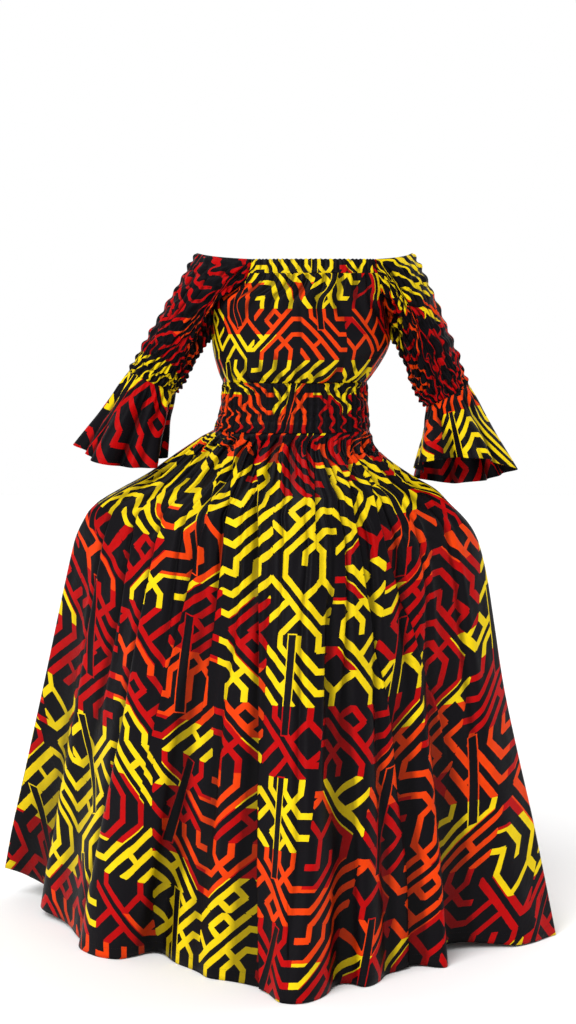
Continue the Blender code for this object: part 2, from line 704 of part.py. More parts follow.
def garment_pieces():
    pieces = []
    for word, facing in (("front", -1), ("back", 1)):
        rows = [torso_row(row, facing) for row in range(len(TORSO))]
        pieces.append(Piece("neckband_" + word, rows[:NECK_BAND_ROWS]))
        shared = waist_row(0, facing, 0)
        pieces.append(Piece("bodice_" + word, rows[NECK_BAND_ROWS - 1 : -1] + [shared]))
        ribbed = [waist_row(row.share, facing, row.ribs) for row in BAND_ROWS]
        plain = [waist_row(share, facing, 0) for share in (0, 0.5, 1)]
        pieces.append(Piece("waistband_" + word, ribbed, plain=plain))
    skirts = {word: skirt_panel(facing) for word, facing in (("front", -1), ("back", 1))}
    for word, rows in skirts.items():
        pieces.append(Piece("skirt_" + word, rows))
    for side in SLEEVES:
        rings = sleeve_rows(side, 2 * SMOCK_BANDS)
        plain = [rings[k] for k in range(0, len(rings), 4)]
        pieces.append(Piece("sleeve_" + side, smocked(rings), closed=True, plain=plain))
        pieces.append(Piece("flounce_" + side, flounce_rows(side), closed=True))
        bag = pocket_rows(side, skirts["front"], skirts["back"])
        pieces.append(Piece("pocket_" + side, bag, closed=True, ends_shut=True))
    return pieces


def main():
    for thing in list(bpy.data.objects):
        bpy.data.objects.remove(thing, do_unlink=True)
    collection = bpy.data.collections.new("wax_print_dress")
    bpy.context.scene.collection.children.link(collection)
    pieces = garment_pieces()
    normals = shared_normals(pieces)
    for piece in pieces:
        colour = POCKET_COLOUR if piece.name.startswith("pocket") else PRINT_COLOUR
        add_wall(piece, normals, collection, cloth_material("cotton_" + piece.name, colour))


main()
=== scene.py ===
# Off-the-shoulder maxi dress in wax print cotton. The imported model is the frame, and each
# piece of cloth here is a thin shell on the form of its own solid, in metres, front towards -Y.

import math
from functools import partialmethod

import bpy
import numpy as np
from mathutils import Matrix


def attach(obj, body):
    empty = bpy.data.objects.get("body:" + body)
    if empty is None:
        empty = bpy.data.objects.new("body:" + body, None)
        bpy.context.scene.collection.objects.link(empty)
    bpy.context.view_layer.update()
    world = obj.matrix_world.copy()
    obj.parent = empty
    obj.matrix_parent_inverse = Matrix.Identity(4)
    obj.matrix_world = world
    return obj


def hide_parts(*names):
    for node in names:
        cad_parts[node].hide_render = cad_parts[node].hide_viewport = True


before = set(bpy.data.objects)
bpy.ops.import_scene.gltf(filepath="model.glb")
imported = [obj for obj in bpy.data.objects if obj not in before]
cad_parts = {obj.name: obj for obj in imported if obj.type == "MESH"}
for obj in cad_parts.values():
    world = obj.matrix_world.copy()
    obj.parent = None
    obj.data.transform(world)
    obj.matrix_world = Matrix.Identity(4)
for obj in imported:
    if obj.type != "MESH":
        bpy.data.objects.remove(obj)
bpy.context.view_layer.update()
print("frame loaded:", len(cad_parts), "pieces")


# Shared helpers

# lengths written in millimetres, as metres
def mm(rows):
    return np.array(rows) / 1000


def smoothStep(low, high, value):
    share = np.clip((value - low) / (high - low), 0, 1)
    return share * share * (3 - 2 * share)


# smooth curve through the rows, read at fractional row numbers
def curveAt(rows, places):
    rows = np.asarray(rows, float)
    places = np.atleast_1d(places)
    first = np.clip(np.floor(places).astype(int), 0, len(rows) - 2)
    share = (places - first)[:, None]
    padded = np.concatenate([[2 * rows[0] - rows[1]], rows, [2 * rows[-1] - rows[-2]]])
    before, a, b, after = (padded[first + k] for k in range(4))
    return 0.5 * (2 * a + (b - before) * share + (2 * before - 5 * a + 4 * b - after) * share**2
                  + (3 * a - before - 3 * b + after) * share**3)


def through(rows, steps):
    return curveAt(rows, np.linspace(0, len(rows) - 1, steps + 1))


# points at these shares of a line's length, seen from above
def alongLine(points, shares):
    steps = np.linalg.norm(np.diff(points[:, :2], axis=0), axis=1)
    run = np.concatenate([[0], np.cumsum(steps)])
    return np.stack([np.interp(shares, run / run[-1], column) for column in points.T], axis=1)


# smooth noise from -1 to 1 on a unit lattice
def softNoise(x, y, seed):
    cellX, cellY = np.floor(x), np.floor(y)
    fx, fy = x - cellX, y - cellY
    fx, fy = fx * fx * (3 - 2 * fx), fy * fy * (3 - 2 * fy)

    def corner(dx, dy):
        mixed = np.sin((cellX + dx) * 127.1 + (cellY + dy) * 311.7 + seed * 74.7) * 43758.5453
        return 2 * (mixed - np.floor(mixed)) - 1

    low = corner(0, 0) * (1 - fx) + corner(1, 0) * fx
    high = corner(0, 1) * (1 - fx) + corner(1, 1) * fx
    return low * (1 - fy) + high * fy


# unit normals of a grid whose rows go down and whose columns run anticlockwise from above
def outwardNormals(points, closed=False):
    if closed:
        across = np.roll(points, -1, axis=1) - np.roll(points, 1, axis=1)
    else:
        across = np.gradient(points, axis=1)
    down = np.gradient(points, axis=0)
    normals = np.cross(down, across)
    return normals / (np.linalg.norm(normals, axis=2, keepdims=True) + 1e-12)


def downDistance(points):
    steps = np.linalg.norm(np.diff(points, axis=0), axis=2)
    return np.concatenate([np.zeros((1, points.shape[1])), np.cumsum(steps, axis=0)])


def rowLengths(points, closed=False):
    loop = np.concatenate([points, points[:, :1]], axis=1) if closed else points
    return np.linalg.norm(np.diff(loop, axis=1), axis=2).sum(axis=1)


# soft troughs along straight lines: x and z of both ends, depth and width
def creases(x, z, table):
    total = np.zeros_like(x)
    for x0, z0, x1, z1, depth, width in table:
        wayX, wayZ = x1 - x0, z1 - z0
        share = ((x - x0) * wayX + (z - z0) * wayZ) / (wayX**2 + wayZ**2)
        near = np.clip(share, 0, 1)
        gap = np.hypot(x - x0 - near * wayX, z - z0 - near * wayZ)
        total -= depth * np.exp(-((gap / width) ** 2)) * np.sin(math.pi * np.clip(share, 0.04, 0.96))
    return total


# how deep each point lies in a fold, from 0 to 1, against the cloth this many columns and rows away; it
# sets the painted shade in the folds
def foldShadeShares(points, reach, depth, closed=False):
    level = points
    for axis in (1, 0):
        away = reach[1 - axis]
        edges = [(away, away) if k == axis else (0, 0) for k in range(3)]
        wide = np.pad(level, edges, mode="wrap" if closed and axis == 1 else "edge")
        count = points.shape[axis]
        slices = [np.take(wide, np.arange(k, k + count), axis=axis) for k in range(2 * away + 1)]
        level = sum(slices) / len(slices)
    inside = np.sum((level - points) * outwardNormals(points, closed), axis=2)
    return np.clip(inside / depth, 0, 1)


def newObject(name, mesh, material):
    mesh.materials.append(material)
    mesh.shade_smooth()
    piece = bpy.data.objects.new(name, mesh)
    bpy.context.scene.collection.objects.link(piece)
    return piece


# one sheet of cloth from a grid of points, with its flat place as the UV, given a thin wall
def clothPiece(name, points, uv, material, foldShade=None, closed=False, thickness=0.0006):
    rows, columns = points.shape[:2]
    mesh = bpy.data.meshes.new(name)
    number = np.arange(rows * columns).reshape(rows, columns)
    if closed:
        number = np.concatenate([number, number[:, :1]], axis=1)
    quads = np.stack([number[:-1, :-1], number[1:, :-1], number[1:, 1:], number[:-1, 1:]], axis=2)
    mesh.from_pydata(points.reshape(-1, 3).tolist(), [], quads.reshape(-1, 4).tolist())
    corners = np.stack([uv[:-1, :-1], uv[1:, :-1], uv[1:, 1:], uv[:-1, 1:]], axis=2)
    layer = mesh.uv_layers.new(name="cloth")
    layer.data.foreach_set("uv", corners.reshape(-1).astype(np.float32))
    # painted shade: how deep each point lies in a fold, stored for the material to darken the colour there
    if foldShade is not None:
        trough = mesh.attributes.new("trough", "FLOAT", "POINT")
        trough.data.foreach_set("value", foldShade.reshape(-1).astype(np.float32))
    piece = newObject(name, mesh, material)
    bpy.ops.object.select_all(action="DESELECT")
    piece.select_set(True)
    bpy.context.view_layer.objects.active = piece
    wall = piece.modifiers.new("wall", "SOLIDIFY")
    wall.thickness = thickness
    wall.offset = -1
    bpy.ops.object.modifier_apply(modifier=wall.name)
    return piece


stitch = {
    "length": 0.0032,
    "gap": 0.0012,
    "width": 0.0005,
    "firstAt": 0.001,
    # height above and below the cloth, in widths, and how far the row is lifted off it
    "above": 0.9,
    "below": 0.3,
    "lift": 0.0001,
}


# a row of short thread stitches lying on the cloth along a line
def stitchLine(name, points, normals, material):
    length, width = stitch["length"], stitch["width"]
    run = np.concatenate([[0], np.cumsum(np.linalg.norm(np.diff(points, axis=0), axis=1))])
    starts = np.arange(stitch["firstAt"], run[-1] - length, length + stitch["gap"])
    vertices, faces = [], []

    def onLine(places, values):
        return np.stack([np.interp(places, run, column) for column in values.T], axis=1)

    tail, middle, head = (onLine(starts + length * share, points) for share in (0, 0.5, 1))
    up = onLine(starts + length * 0.5, normals)
    up /= np.linalg.norm(up, axis=1, keepdims=True)
    side = np.cross(up, head - tail)
    side *= width / 2 / np.linalg.norm(side, axis=1, keepdims=True)
    for k in range(len(starts)):
        first = len(vertices)
        top, bottom = up[k] * width * stitch["above"], up[k] * width * stitch["below"]
        vertices += [tail[k], middle[k] + side[k], middle[k] + top, middle[k] - side[k], head[k],
                     middle[k] - bottom]
        ring = [1, 2, 3, 5]
        for a, b in zip(ring, ring[1:] + ring[:1]):
            faces += [(first, first + b, first + a), (first + 4, first + a, first + b)]
    mesh = bpy.data.meshes.new(name)
    mesh.from_pydata([tuple(v) for v in vertices], [], faces)
    return newObject(name, mesh, material)


# The wax print

# a socket that adds Math nodes when it is used in an expression
class Wire:
    def __init__(self, paint, socket):
        self.paint, self.socket = paint, socket

    def maths(self, operation, *values):
        return self.paint.add("ShaderNodeMath", {"operation": operation}, (self,) + values)

    def __rsub__(self, other):
        return self * -1.0 + other

    # x, y or z of a vector, or red, green or blue of a colour
    def part(self, number):
        return self.paint.add("ShaderNodeSeparateXYZ", {}, (self,), number)

    __add__ = __radd__ = partialmethod(maths, "ADD")
    __mul__ = __rmul__ = partialmethod(maths, "MULTIPLY")
    __sub__ = partialmethod(maths, "SUBTRACT")
    __truediv__ = partialmethod(maths, "DIVIDE")
    near = partialmethod(maths, "COMPARE")
    over = partialmethod(maths, "GREATER_THAN")
    either = partialmethod(maths, "MAXIMUM")
    __abs__ = partialmethod(maths, "ABSOLUTE")
    floor = partialmethod(maths, "FLOOR")
    within = partialmethod(maths, "FLOORED_MODULO")


# a new material with a Principled shader, and one way to add nodes to it
class Paint:
    def __init__(self, name):
        self.material = bpy.data.materials.new(name)
        self.material.use_nodes = True
        self.tree = self.material.node_tree
        self.shader = self.tree.nodes["Principled BSDF"]

    def add(self, kind, settings, values, output=0):
        node = self.tree.nodes.new(kind)
        for key, value in settings.items():
            if key == "stops":
                while len(node.color_ramp.elements) < len(value):
                    node.color_ramp.elements.new(0.5)
                for element, (position, colour) in zip(node.color_ramp.elements, value):
                    element.position, element.color = position, (*colour, 1)
                node.color_ramp.interpolation = "CONSTANT"
            else:
                setattr(node, key, value)
        for key, value in values.items() if isinstance(values, dict) else enumerate(values):
            if isinstance(value, Wire):
                self.tree.links.new(value.socket, node.inputs[key])
            else:
                node.inputs[key].default_value = value
        return Wire(self, node.outputs[output])

    def noise(self, place, scale, detail, dimensions="2D", output=0, **more):
        return self.add("ShaderNodeTexNoise", {"noise_dimensions": dimensions},
                        {"Vector": place, "Scale": scale, "Detail": detail, **more}, output)

    # chances from 0 to 1 that belong to three numbers
    def chances(self, x, y, z, output=1):
        place = self.add("ShaderNodeCombineXYZ", {}, (x, y, z))
        return self.add("ShaderNodeTexWhiteNoise", {"noise_dimensions": "3D"}, {"Vector": place}, output)

    def finish(self, wires, values):
        for key, wire in wires.items():
            self.tree.links.new(wire.socket, self.shader.inputs[key])
        for key, value in values.items():
            self.shader.inputs[key].default_value = value
        return self.material


waxPrint = {
    "step": 0.013,  # one step of the chart on the cloth
    "cell": 10.0,  # steps across and down one cell
    "ground": (0.004, 0.0032, 0.0046),
    "red": (0.45, 0.0008, 0.0014),
    "orange": (0.77, 0.048, 0.001),
    "yellow": (0.83, 0.6, 0.004),
    # a colour patch is red up to the first chance, orange up to the second, and yellow above it
    "redTo": 0.38,
    "orangeTo": 0.63,
    "handWobble": 0.04,
    # scales of the noise for the bands' wobble, patches of paler ink, the weave and its slubs
    "wobbleScale": 90.0,
    "patchScale": 24.0,
    "grainScale": 900.0,
    "slubScale": 55.0,
    # shares of the cells that break the mirrored layout sideways and upright
    "oddSideways": 0.3,
    "oddUpright": 0.38,
    # the long dark bars with a thin coloured line round them, one to a square of this many steps:
    # shift, lean, share above which a bar leans, half width and length, line width, share shown
    "barSquare": 20.0,
    "barShift": (6.0, 7.0),
    "barSlant": 0.29,
    "barLeans": 0.66,
    "barHalf": (0.8, 7.2),
    "barLine": 0.18,
    "barShare": 0.9,
}

# The chart: bands of one cell, which is mirrored from cell to cell. Each runs from one x and y to
# another, level, upright or at 45 degrees, and meets the cell's edge 2, 5 or 8 steps along it, so
# that it goes on in the next cell. Each cell adds one of three fillings.
cellChart = {
    "common": [(0, 2, 8, 10), (2, 1.6, 8.4, 8), (2, 0, 2, 1.6), (8.4, 8, 10, 8)],
    "stripes": [
        (0, 5, 5, 10), (0, 8, 2, 10), (4, 6, 2.5, 7.5), (5, 0, 5, 1.8), (5, 1.8, 8.2, 5),
        (8.2, 5, 10, 5), (8, 0, 8, 2), (8, 2, 10, 2),
    ],
    "comb": [
        (2, 4, 0, 6), (4.2, 6.2, 2.7, 7.7), (6.2, 8.2, 4.7, 9.7), (2.7, 7.7, 4.7, 9.7), (0, 8, 2, 10),
        (5, 0, 5, 1.8), (5, 1.8, 8.2, 5), (8.2, 5, 10, 5), (5.2, 4.8, 8, 2), (8, 0, 8, 2),
    ],
    "window": [
        (0, 8, 3, 5), (2, 10, 5, 7), (5.2, 4.8, 8, 2), (8, 0, 8, 2), (8.4, 8, 10, 6.4), (8, 2, 10, 4),
    ],
}
fillingShares = {"stripes": (0.0, 0.38), "comb": (0.38, 0.72), "window": (0.72, 1.0)}


# 1 on one band of the chart, whose ends run on a little so that bent bands meet
def bandMask(x, y, rising, falling, band, ends):
    x0, y0, x1, y1 = ends
    more = 0.45 * band
    if y0 == y1:
        return y.near(y0, band) * x.near((x0 + x1) / 2, abs(x1 - x0) / 2 + more)
    if x0 == x1:
        return x.near(x0, band) * y.near((y0 + y1) / 2, abs(y1 - y0) / 2 + more)
    root = math.sqrt(2)
    sums = (x0 + y0) / root, (x1 + y1) / root
    gaps = (x0 - y0) / root, (x1 - y1) / root
    if (x1 - x0) * (y1 - y0) > 0:
        return falling.near(gaps[0], band) * rising.near(sum(sums) / 2, abs(sums[1] - sums[0]) / 2 + more)
    return rising.near(sums[0], band) * falling.near(sum(gaps) / 2, abs(gaps[1] - gaps[0]) / 2 + more)


# 1 on the bands of every cell, each cell with its own filling by chance
def cellMask(x, y, band, chance):
    rising, falling = (x + y) * (1 / math.sqrt(2)), (x - y) * (1 / math.sqrt(2))
    masks = {}
    for filling, bands in cellChart.items():
        for ends in bands:
            one = bandMask(x, y, rising, falling, band, ends)
            masks[filling] = masks[filling].either(one) if filling in masks else one
    mask = masks["common"]
    for filling, (low, high) in fillingShares.items():
        mask = mask.either(masks[filling] * chance.near((low + high) / 2, (high - low) / 2))
    return mask


# adds the long slanted bars to a mask: the thin line round each, and black inside it
def barMask(paint, mask, u, v, seed):
    square, leans = waxPrint["barSquare"], waxPrint["barLeans"]
    u, v = u + waxPrint["barShift"][0], v + waxPrint["barShift"][1]
    chance = paint.chances((u / square).floor(), (v / square).floor(), seed + 0.5)
    lean = (chance.part(0).over(leans) - chance.part(1).over(leans)) * waxPrint["barSlant"]
    x, y = u.within(square) - square / 2, v.within(square) - square / 2
    across, along = x + lean * y, y - lean * x
    shown = 1 - chance.part(2).over(waxPrint["barShare"])
    width, length = waxPrint["barHalf"]
    line = waxPrint["barLine"]
    outer = across.near(0.0, width) * along.near(0.0, length) * shown
    inner = across.near(0.0, width - line) * along.near(0.0, length - line) * shown
    return mask.either(outer) * (1 - inner)


# each half of a cell has one colour, which some of its neighbours share
def cellInk(paint, x, y, v, column, row, seed):
    size, half = waxPrint["cell"], x.over(y)
    pair = ((column + half) / 2).floor()
    step = ((v + pair.within(2.0) * (size / 2)) / size).floor()
    mixed = paint.chances(column, row, seed, 0).over(0.5)
    pick = paint.chances(pair * 3 + step, step + half * mixed, seed + 0.25, 0)
    stops = [(0.0, waxPrint["red"]), (waxPrint["redTo"], waxPrint["orange"]),
             (waxPrint["orangeTo"], waxPrint["yellow"])]
    return paint.add("ShaderNodeValToRGB", {"stops": stops}, (pick,))


def waxPrintMaterial(name, look):
    paint = Paint(name)
    size, seed = waxPrint["cell"], look["seed"]
    place = paint.add("ShaderNodeUVMap", {"uv_map": "cloth"}, {})
    wobble = paint.noise(place, waxPrint["wobbleScale"], 1.0, output=1)
    u, v = (place.part(k) / waxPrint["step"] + (wobble.part(k) - 0.5) * (2 * waxPrint["handWobble"])
            for k in (0, 1))
    column, row = (u / size).floor(), (v / size).floor()
    chance = paint.chances(column, row, seed)
    sideways = abs(column.within(2.0) - chance.part(0).over(1 - waxPrint["oddSideways"]))
    upright = abs(row.within(2.0) - chance.part(1).over(1 - waxPrint["oddUpright"]))
    x = u.within(size) * (1 - 2 * sideways) + sideways * size
    y = v.within(size) * (1 - 2 * upright) + upright * size
    mask = barMask(paint, cellMask(x, y, look["band"], chance.part(2)), u, v, seed)
    ink = cellInk(paint, x, y, v, column, row, seed)

    patches = paint.noise(place, waxPrint["patchScale"], 3.0, Roughness=0.6)
    tone = paint.add("ShaderNodeMapRange", {}, {0: patches, 1: 0.3, 2: 0.7, 3: 0.88, 4: 1.04})
    ink = paint.add("ShaderNodeVectorMath", {"operation": "SCALE"}, {0: ink, 3: tone})
    ground = (*waxPrint["ground"], 1)
    colour = paint.add("ShaderNodeMix", {"data_type": "RGBA"}, {0: mask, 6: ground, 7: ink}, 2)
    # painted shade: the colour is darkened where the cloth lies deep in a fold
    trough = paint.add("ShaderNodeAttribute", {"attribute_name": "trough"}, {}, 2)
    paintedShade = 1 - trough * look["paintedShade"]
    colour = paint.add("ShaderNodeVectorMath", {"operation": "SCALE"}, {0: colour, 3: paintedShade})

    grain = paint.noise(place, waxPrint["grainScale"], 1.0)
    slub = paint.noise(place, waxPrint["slubScale"], 3.0, Distortion=0.6)
    relief = grain * 0.25 + slub * look["crumple"]
    bump = paint.add("ShaderNodeBump", {}, {"Strength": 0.55, "Distance": 0.001, "Height": relief})
    rough = (tone - 0.96) * 0.35 + look["roughness"]
    return paint.finish(
        {"Base Color": colour, "Normal": bump, "Roughness": rough},
        {"Specular IOR Level": look["gloss"]})


def plainCotton(name, colour):
    paint = Paint(name)
    place = paint.add("ShaderNodeTexCoord", {}, {}, 3)
    weave, patches = paint.noise(place, 700.0, 1.0, "3D"), paint.noise(place, 30.0, 2.0, "3D")
    tone = paint.add("ShaderNodeMapRange", {}, {0: patches, 1: 0.3, 2: 0.7, 3: 0.8, 4: 1.2})
    tint = paint.add("ShaderNodeVectorMath", {"operation": "SCALE"}, {0: colour, 3: tone})
    bump = paint.add("ShaderNodeBump", {}, {"Strength": 0.4, "Distance": 0.0008, "Height": weave})
    return paint.finish({"Base Color": tint, "Normal": bump},
                        {"Roughness": 0.8, "Specular IOR Level": 0.2})


# band is half the width of a coloured band in steps, and the last entry is how dark the folds are painted,
# as painted shade
looks = {
    "skirt": {"seed": 0.0, "band": 0.46, "crumple": 1.0, "roughness": 0.44, "gloss": 0.08, "paintedShade": 0.64},
    "bodice": {"seed": 1.0, "band": 0.42, "crumple": 0.8, "roughness": 0.44, "gloss": 0.08, "paintedShade": 0.64},
    "sleeve": {"seed": 2.0, "band": 0.36, "crumple": 1.6, "roughness": 0.5, "gloss": 0.05, "paintedShade": 0.9},
    "flounce": {"seed": 2.0, "band": 0.44, "crumple": 1.0, "roughness": 0.46, "gloss": 0.05, "paintedShade": 0.75},
    "band": {"seed": 3.0, "band": 0.37, "crumple": 1.0, "roughness": 0.48, "gloss": 0.07, "paintedShade": 0.85},
}
materials = {key: waxPrintMaterial("wax print cotton, " + key, look) for key, look in looks.items()}
materials["pocket"] = plainCotton("black pocket cotton", (0.014, 0.012, 0.015))
thread = plainCotton("black thread", (0.02, 0.018, 0.02))
print("materials ready")


# Torso: bodice panels and neck bands

torso = {
    "columns": 150,
    "bodiceRows": 92,
    "bandRows": 18,
    # height, right and left end, their y in front and behind, the middle's y in front and behind
    "sections": mm([
        (285, -80, 153, -105, 108, -118, 119),
        (272, -82, 155, -105, 107, -122, 119),
        (259, -86, 157, -104, 106, -127, 119),
        (245, -92, 160, -99, 102, -133, 119),
        (229, -110, 163, -88, 94, -137, 118),
        (213, -139, 167, -68, 78, -139, 118),
        (196, -152, 172, -48, 58, -140, 117),
        (177, -156, 179, -28, 36, -139, 116),
        (155, -158, 184, -11, 16, -138, 115),
        (133, -160, 187, 0, 0, -136, 114),
        (110, -157, 180, 0, 0, -133, 113),
        (88, -152, 168, 0, 0, -129, 113),
        (68, -146, 154, 0, 0, -122, 112),
        (52, -139, 142, 0, 0, -110, 108),
    ]),
    "bandSeamPlace": 2,
    "underarmPlace": 9,
    # gathers under the neck band and over the waistband: count across, depth, turn, heights where
    # they start and are deepest, and heights of the seam and where they are clear of it
    "gathers": [
        (9.5, 0.0042, 0.6, 0.12, 0.259, 0.2595, 0.2545),
        (12.5, 0.0036, 1.1, 0.12, 0.052, 0.0515, 0.062),
    ],
    # fine pleats on them: count across, wander, patches of noise across, its seed, the same heights
    "pleats": [
        (27, 2.2, 13, 1, 0.205, 0.256, 0.2592, 0.2565),
        (31, 2.0, 15, 2, 0.098, 0.056, 0.0518, 0.056),
    ],
    "pleatDepth": 0.0021,
    "crumple": 0.0013,
    "seamDip": 0.001,
    "fullness": 1.18,
    "printScale": 0.74,
    # the neck band's casing: how far it stands out, coarse and fine puckers, their depth, crumple,
    # ripple of the upper edge, fullness and how far the print is moved across
    "casingRise": 0.0009,
    "puckers": (13, 31),
    "puckerDepth": 0.0009,
    "casingCrumple": 0.0008,
    "edgeRipple": 0.0007,
    "casingFullness": 1.35,
    "casingPrint": 0.05,
    # creases from the gathers and the armholes over the front: x and z of both ends, depth and width
    "creasesFront": mm([
        (10, 262, 12, 120, 3, 6), (-30, 260, -46, 175, 2.2, 6), (66, 260, 80, 170, 2.4, 6),
        (110, 258, 132, 190, 2, 7), (-66, 256, -96, 200, 2, 6), (-150, 150, -80, 172, 2.8, 9),
        (176, 145, 110, 168, 2.8, 9), (-146, 112, -85, 92, 2.4, 8), (168, 108, 105, 86, 2.4, 8),
        (30, 130, 40, 58, 2.4, 6), (-40, 120, -32, 58, 2.2, 6), (-100, 110, -88, 60, 2, 6),
        (95, 118, 86, 60, 2, 6),
    ]),
    "creasesBack": mm([
        (0, 262, -8, 150, 2.6, 6), (-50, 260, -58, 180, 2.2, 6), (60, 260, 70, 160, 2.4, 6),
        (112, 256, 126, 190, 2, 7), (-148, 150, -70, 130, 2.6, 10), (172, 150, 90, 126, 2.6, 10),
        (20, 120, 14, 58, 2.4, 6), (-62, 116, -56, 58, 2.2, 6), (88, 112, 80, 60, 2.2, 6),
    ]),
}

waist = {
    "columns": 240,
    "rows": 30,
    # height, reach to the right and left, depth in front and behind
    "sections": mm([
        (52, 139, 142, 110, 108),
        (30, 140, 142.5, 109, 108),
        (0, 144, 144.5, 110, 109),
        (-22, 150, 146, 112, 112),
        (-42, 157, 147, 115, 116),
    ]),
    "squareness": 2.1,
    "ribs": 30,
    "ribDepth": 0.0022,
    # share of the way down, and how far the ribs stand out there between the rows of elastic
    "ribRows": [(0.0, 0.0), (0.12, 0.9), (0.28, 1.0), (0.42, 0.35), (0.58, 1.0), (0.72, 0.35),
                (0.88, 0.9), (1.0, 0.0)],
    # the rows of elastic, how far each draws the cloth in, and how wide a dent it leaves
    "elastic": [0.03, 0.2, 0.42, 0.57, 0.72, 0.97],
    "elasticDepth": 0.0009,
    "elasticReach": 0.035,
    # the ribs' uneven height, the finer ribs on them and how far they wander
    "unevenRibs": (0.75, 0.35),
    "fineRibs": 0.3,
    "ribWander": 0.9,
    # cloth across to the width, share of it hidden in the ribs, and how far the print is moved
    "fullness": 1.33,
    "hidden": 0.32,
    "printScale": 0.86,
    "printAt": (0.07, 0.03),
}


def halfSection(right, left, depth, squareness, shares):
    turn = np.linspace(0, math.pi, 241)
    across = -np.cos(turn)
    width = np.where(across < 0, right, left)
    x = width * np.sign(across) * np.abs(across) ** (2 / squareness)
    y = depth * np.abs(np.sin(turn)) ** (2 / squareness)
    return alongLine(np.stack([x, y], axis=1), shares)


# one level of the bodice or the neck band, from the right seam to the left
def torsoRow(place, facing, shares):
    height, right, left, edgeFront, edgeBack, front, back = curveAt(torso["sections"], place)[0]
    edge, deepest = (edgeFront, front) if facing < 0 else (edgeBack, back)
    above = smoothStep(0.12, 0.24, height)
    even = 0.6 * above
    across = (1 - even) * -np.cos(math.pi * shares) + even * (2 * shares - 1)
    crown = np.clip(1 - across**2, 0, 1) ** (0.5 + 0.18 * above)
    x = (right + left) / 2 + across * (left - right) / 2
    y = edge + (deepest - edge) * crown
    return np.stack([x, y, np.full_like(x, height)], axis=1)


def waistRow(share, facing, shares):
    place = share * (len(waist["sections"]) - 1)
    height, right, left, front, back = curveAt(waist["sections"], place)[0]
    section = halfSection(right, left, front if facing < 0 else back, waist["squareness"], shares)
    section[:, 1] *= facing
    return np.column_stack([section, np.full(len(section), height)])


# columns run anticlockwise seen from above, so the back's are turned round
def ordered(grid, facing):
    return grid if facing < 0 else grid[:, ::-1]


def halfName(facing):
    return "Front" if facing < 0 else "Back"


# the rows of one half, their outward normals and every point's share across
def halfGrid(rowAt, places, facing, columns):
    shares = np.linspace(0, 1, columns + 1)
    grid = ordered(np.stack([rowAt(place, facing, shares) for place in places]), facing)
    return grid, outwardNormals(grid), ordered(np.broadcast_to(shares, grid.shape[:2]), facing)


# a level of a bodice panel, which meets the waistband at the last one
def bodiceRow(place, facing, shares):
    last = len(torso["sections"]) - 1
    seamGap = waistRow(0, facing, shares) - torsoRow(last, facing, shares)
    return torsoRow(place, facing, shares) + seamGap * smoothStep(last - 1, last, place)


def bodicePanel(facing):
    places = np.linspace(torso["bandSeamPlace"], len(torso["sections"]) - 1, torso["bodiceRows"] + 1)
    grid, normals, s = halfGrid(bodiceRow, places, facing, torso["columns"])
    lengths = rowLengths(grid)[:, None]
    z = grid[..., 2]
    angle = 2 * math.pi * s
    calm = np.sin(math.pi * s) ** 0.7
    move = creases(grid[..., 0], z, torso["creases" + halfName(facing)])
    for count, depth, turn, starts, deepest, seam, clear in torso["gathers"]:
        strength = smoothStep(starts, deepest, z) * smoothStep(seam, clear, z)
        move += depth * strength * np.cos(count * angle + turn)
    for count, wander, patches, seed, starts, deepest, seam, clear in torso["pleats"]:
        strength = smoothStep(starts, deepest, z) * smoothStep(seam, clear, z)
        uneven = 0.7 + 0.5 * softNoise(s * patches, z * 0, 2 * seed + 1)
        pleats = np.cos(count * angle + wander * softNoise(s * 9, z * 20, seed))
        move += torso["pleatDepth"] * strength * uneven * pleats
    crumpled = softNoise(grid[..., 0] * 30, z * 22, 4 + facing) * smoothStep(0.052, 0.07, z)
    move += torso["crumple"] * crumpled
    move -= torso["seamDip"] * (smoothStep(0.254, 0.2589, z) + smoothStep(0.058, 0.0525, z))
    grid = grid + normals * (move * calm)[..., None]
    u = (s - 0.5) * lengths * torso["fullness"] / torso["printScale"]
    v = z / torso["printScale"]
    return grid, np.stack([u + 0.006 * softNoise(s * 9, z * 12, 8), v], axis=2)


def neckBand(facing):
    places = np.linspace(0, torso["bandSeamPlace"], torso["bandRows"] + 1)
    grid, normals, s = halfGrid(torsoRow, places, facing, torso["columns"])
    down = (places / torso["bandSeamPlace"])[:, None]
    angle = 2 * math.pi * s
    calm = smoothStep(0, 0.03, np.minimum(s, 1 - s))
    casing = np.sin(math.pi * np.clip(down * 1.15, 0, 1)) ** 0.7
    coarse, fine = torso["puckers"]
    pucker = np.cos(coarse * angle) + 0.7 * np.cos(fine * angle + 1.5 * softNoise(s * 8, down * 2, 6))
    pucker = pucker * smoothStep(1.0, 0.8, down) * (0.6 + 0.4 * casing)
    move = torso["casingRise"] * casing + torso["puckerDepth"] * pucker
    move += torso["casingCrumple"] * softNoise(s * 40, down * 3, 7)
    grid = grid + normals * (move * calm)[..., None]
    grid[..., 2] += torso["edgeRipple"] * np.cos(fine * angle + 1.0) * calm * smoothStep(0.35, 0.0, down)
    lengths = rowLengths(grid)[:, None]
    u = (s - 0.5) * lengths * torso["casingFullness"] / torso["printScale"] + torso["casingPrint"]
    return grid, np.stack([u, grid[..., 2] / torso["printScale"]], axis=2)


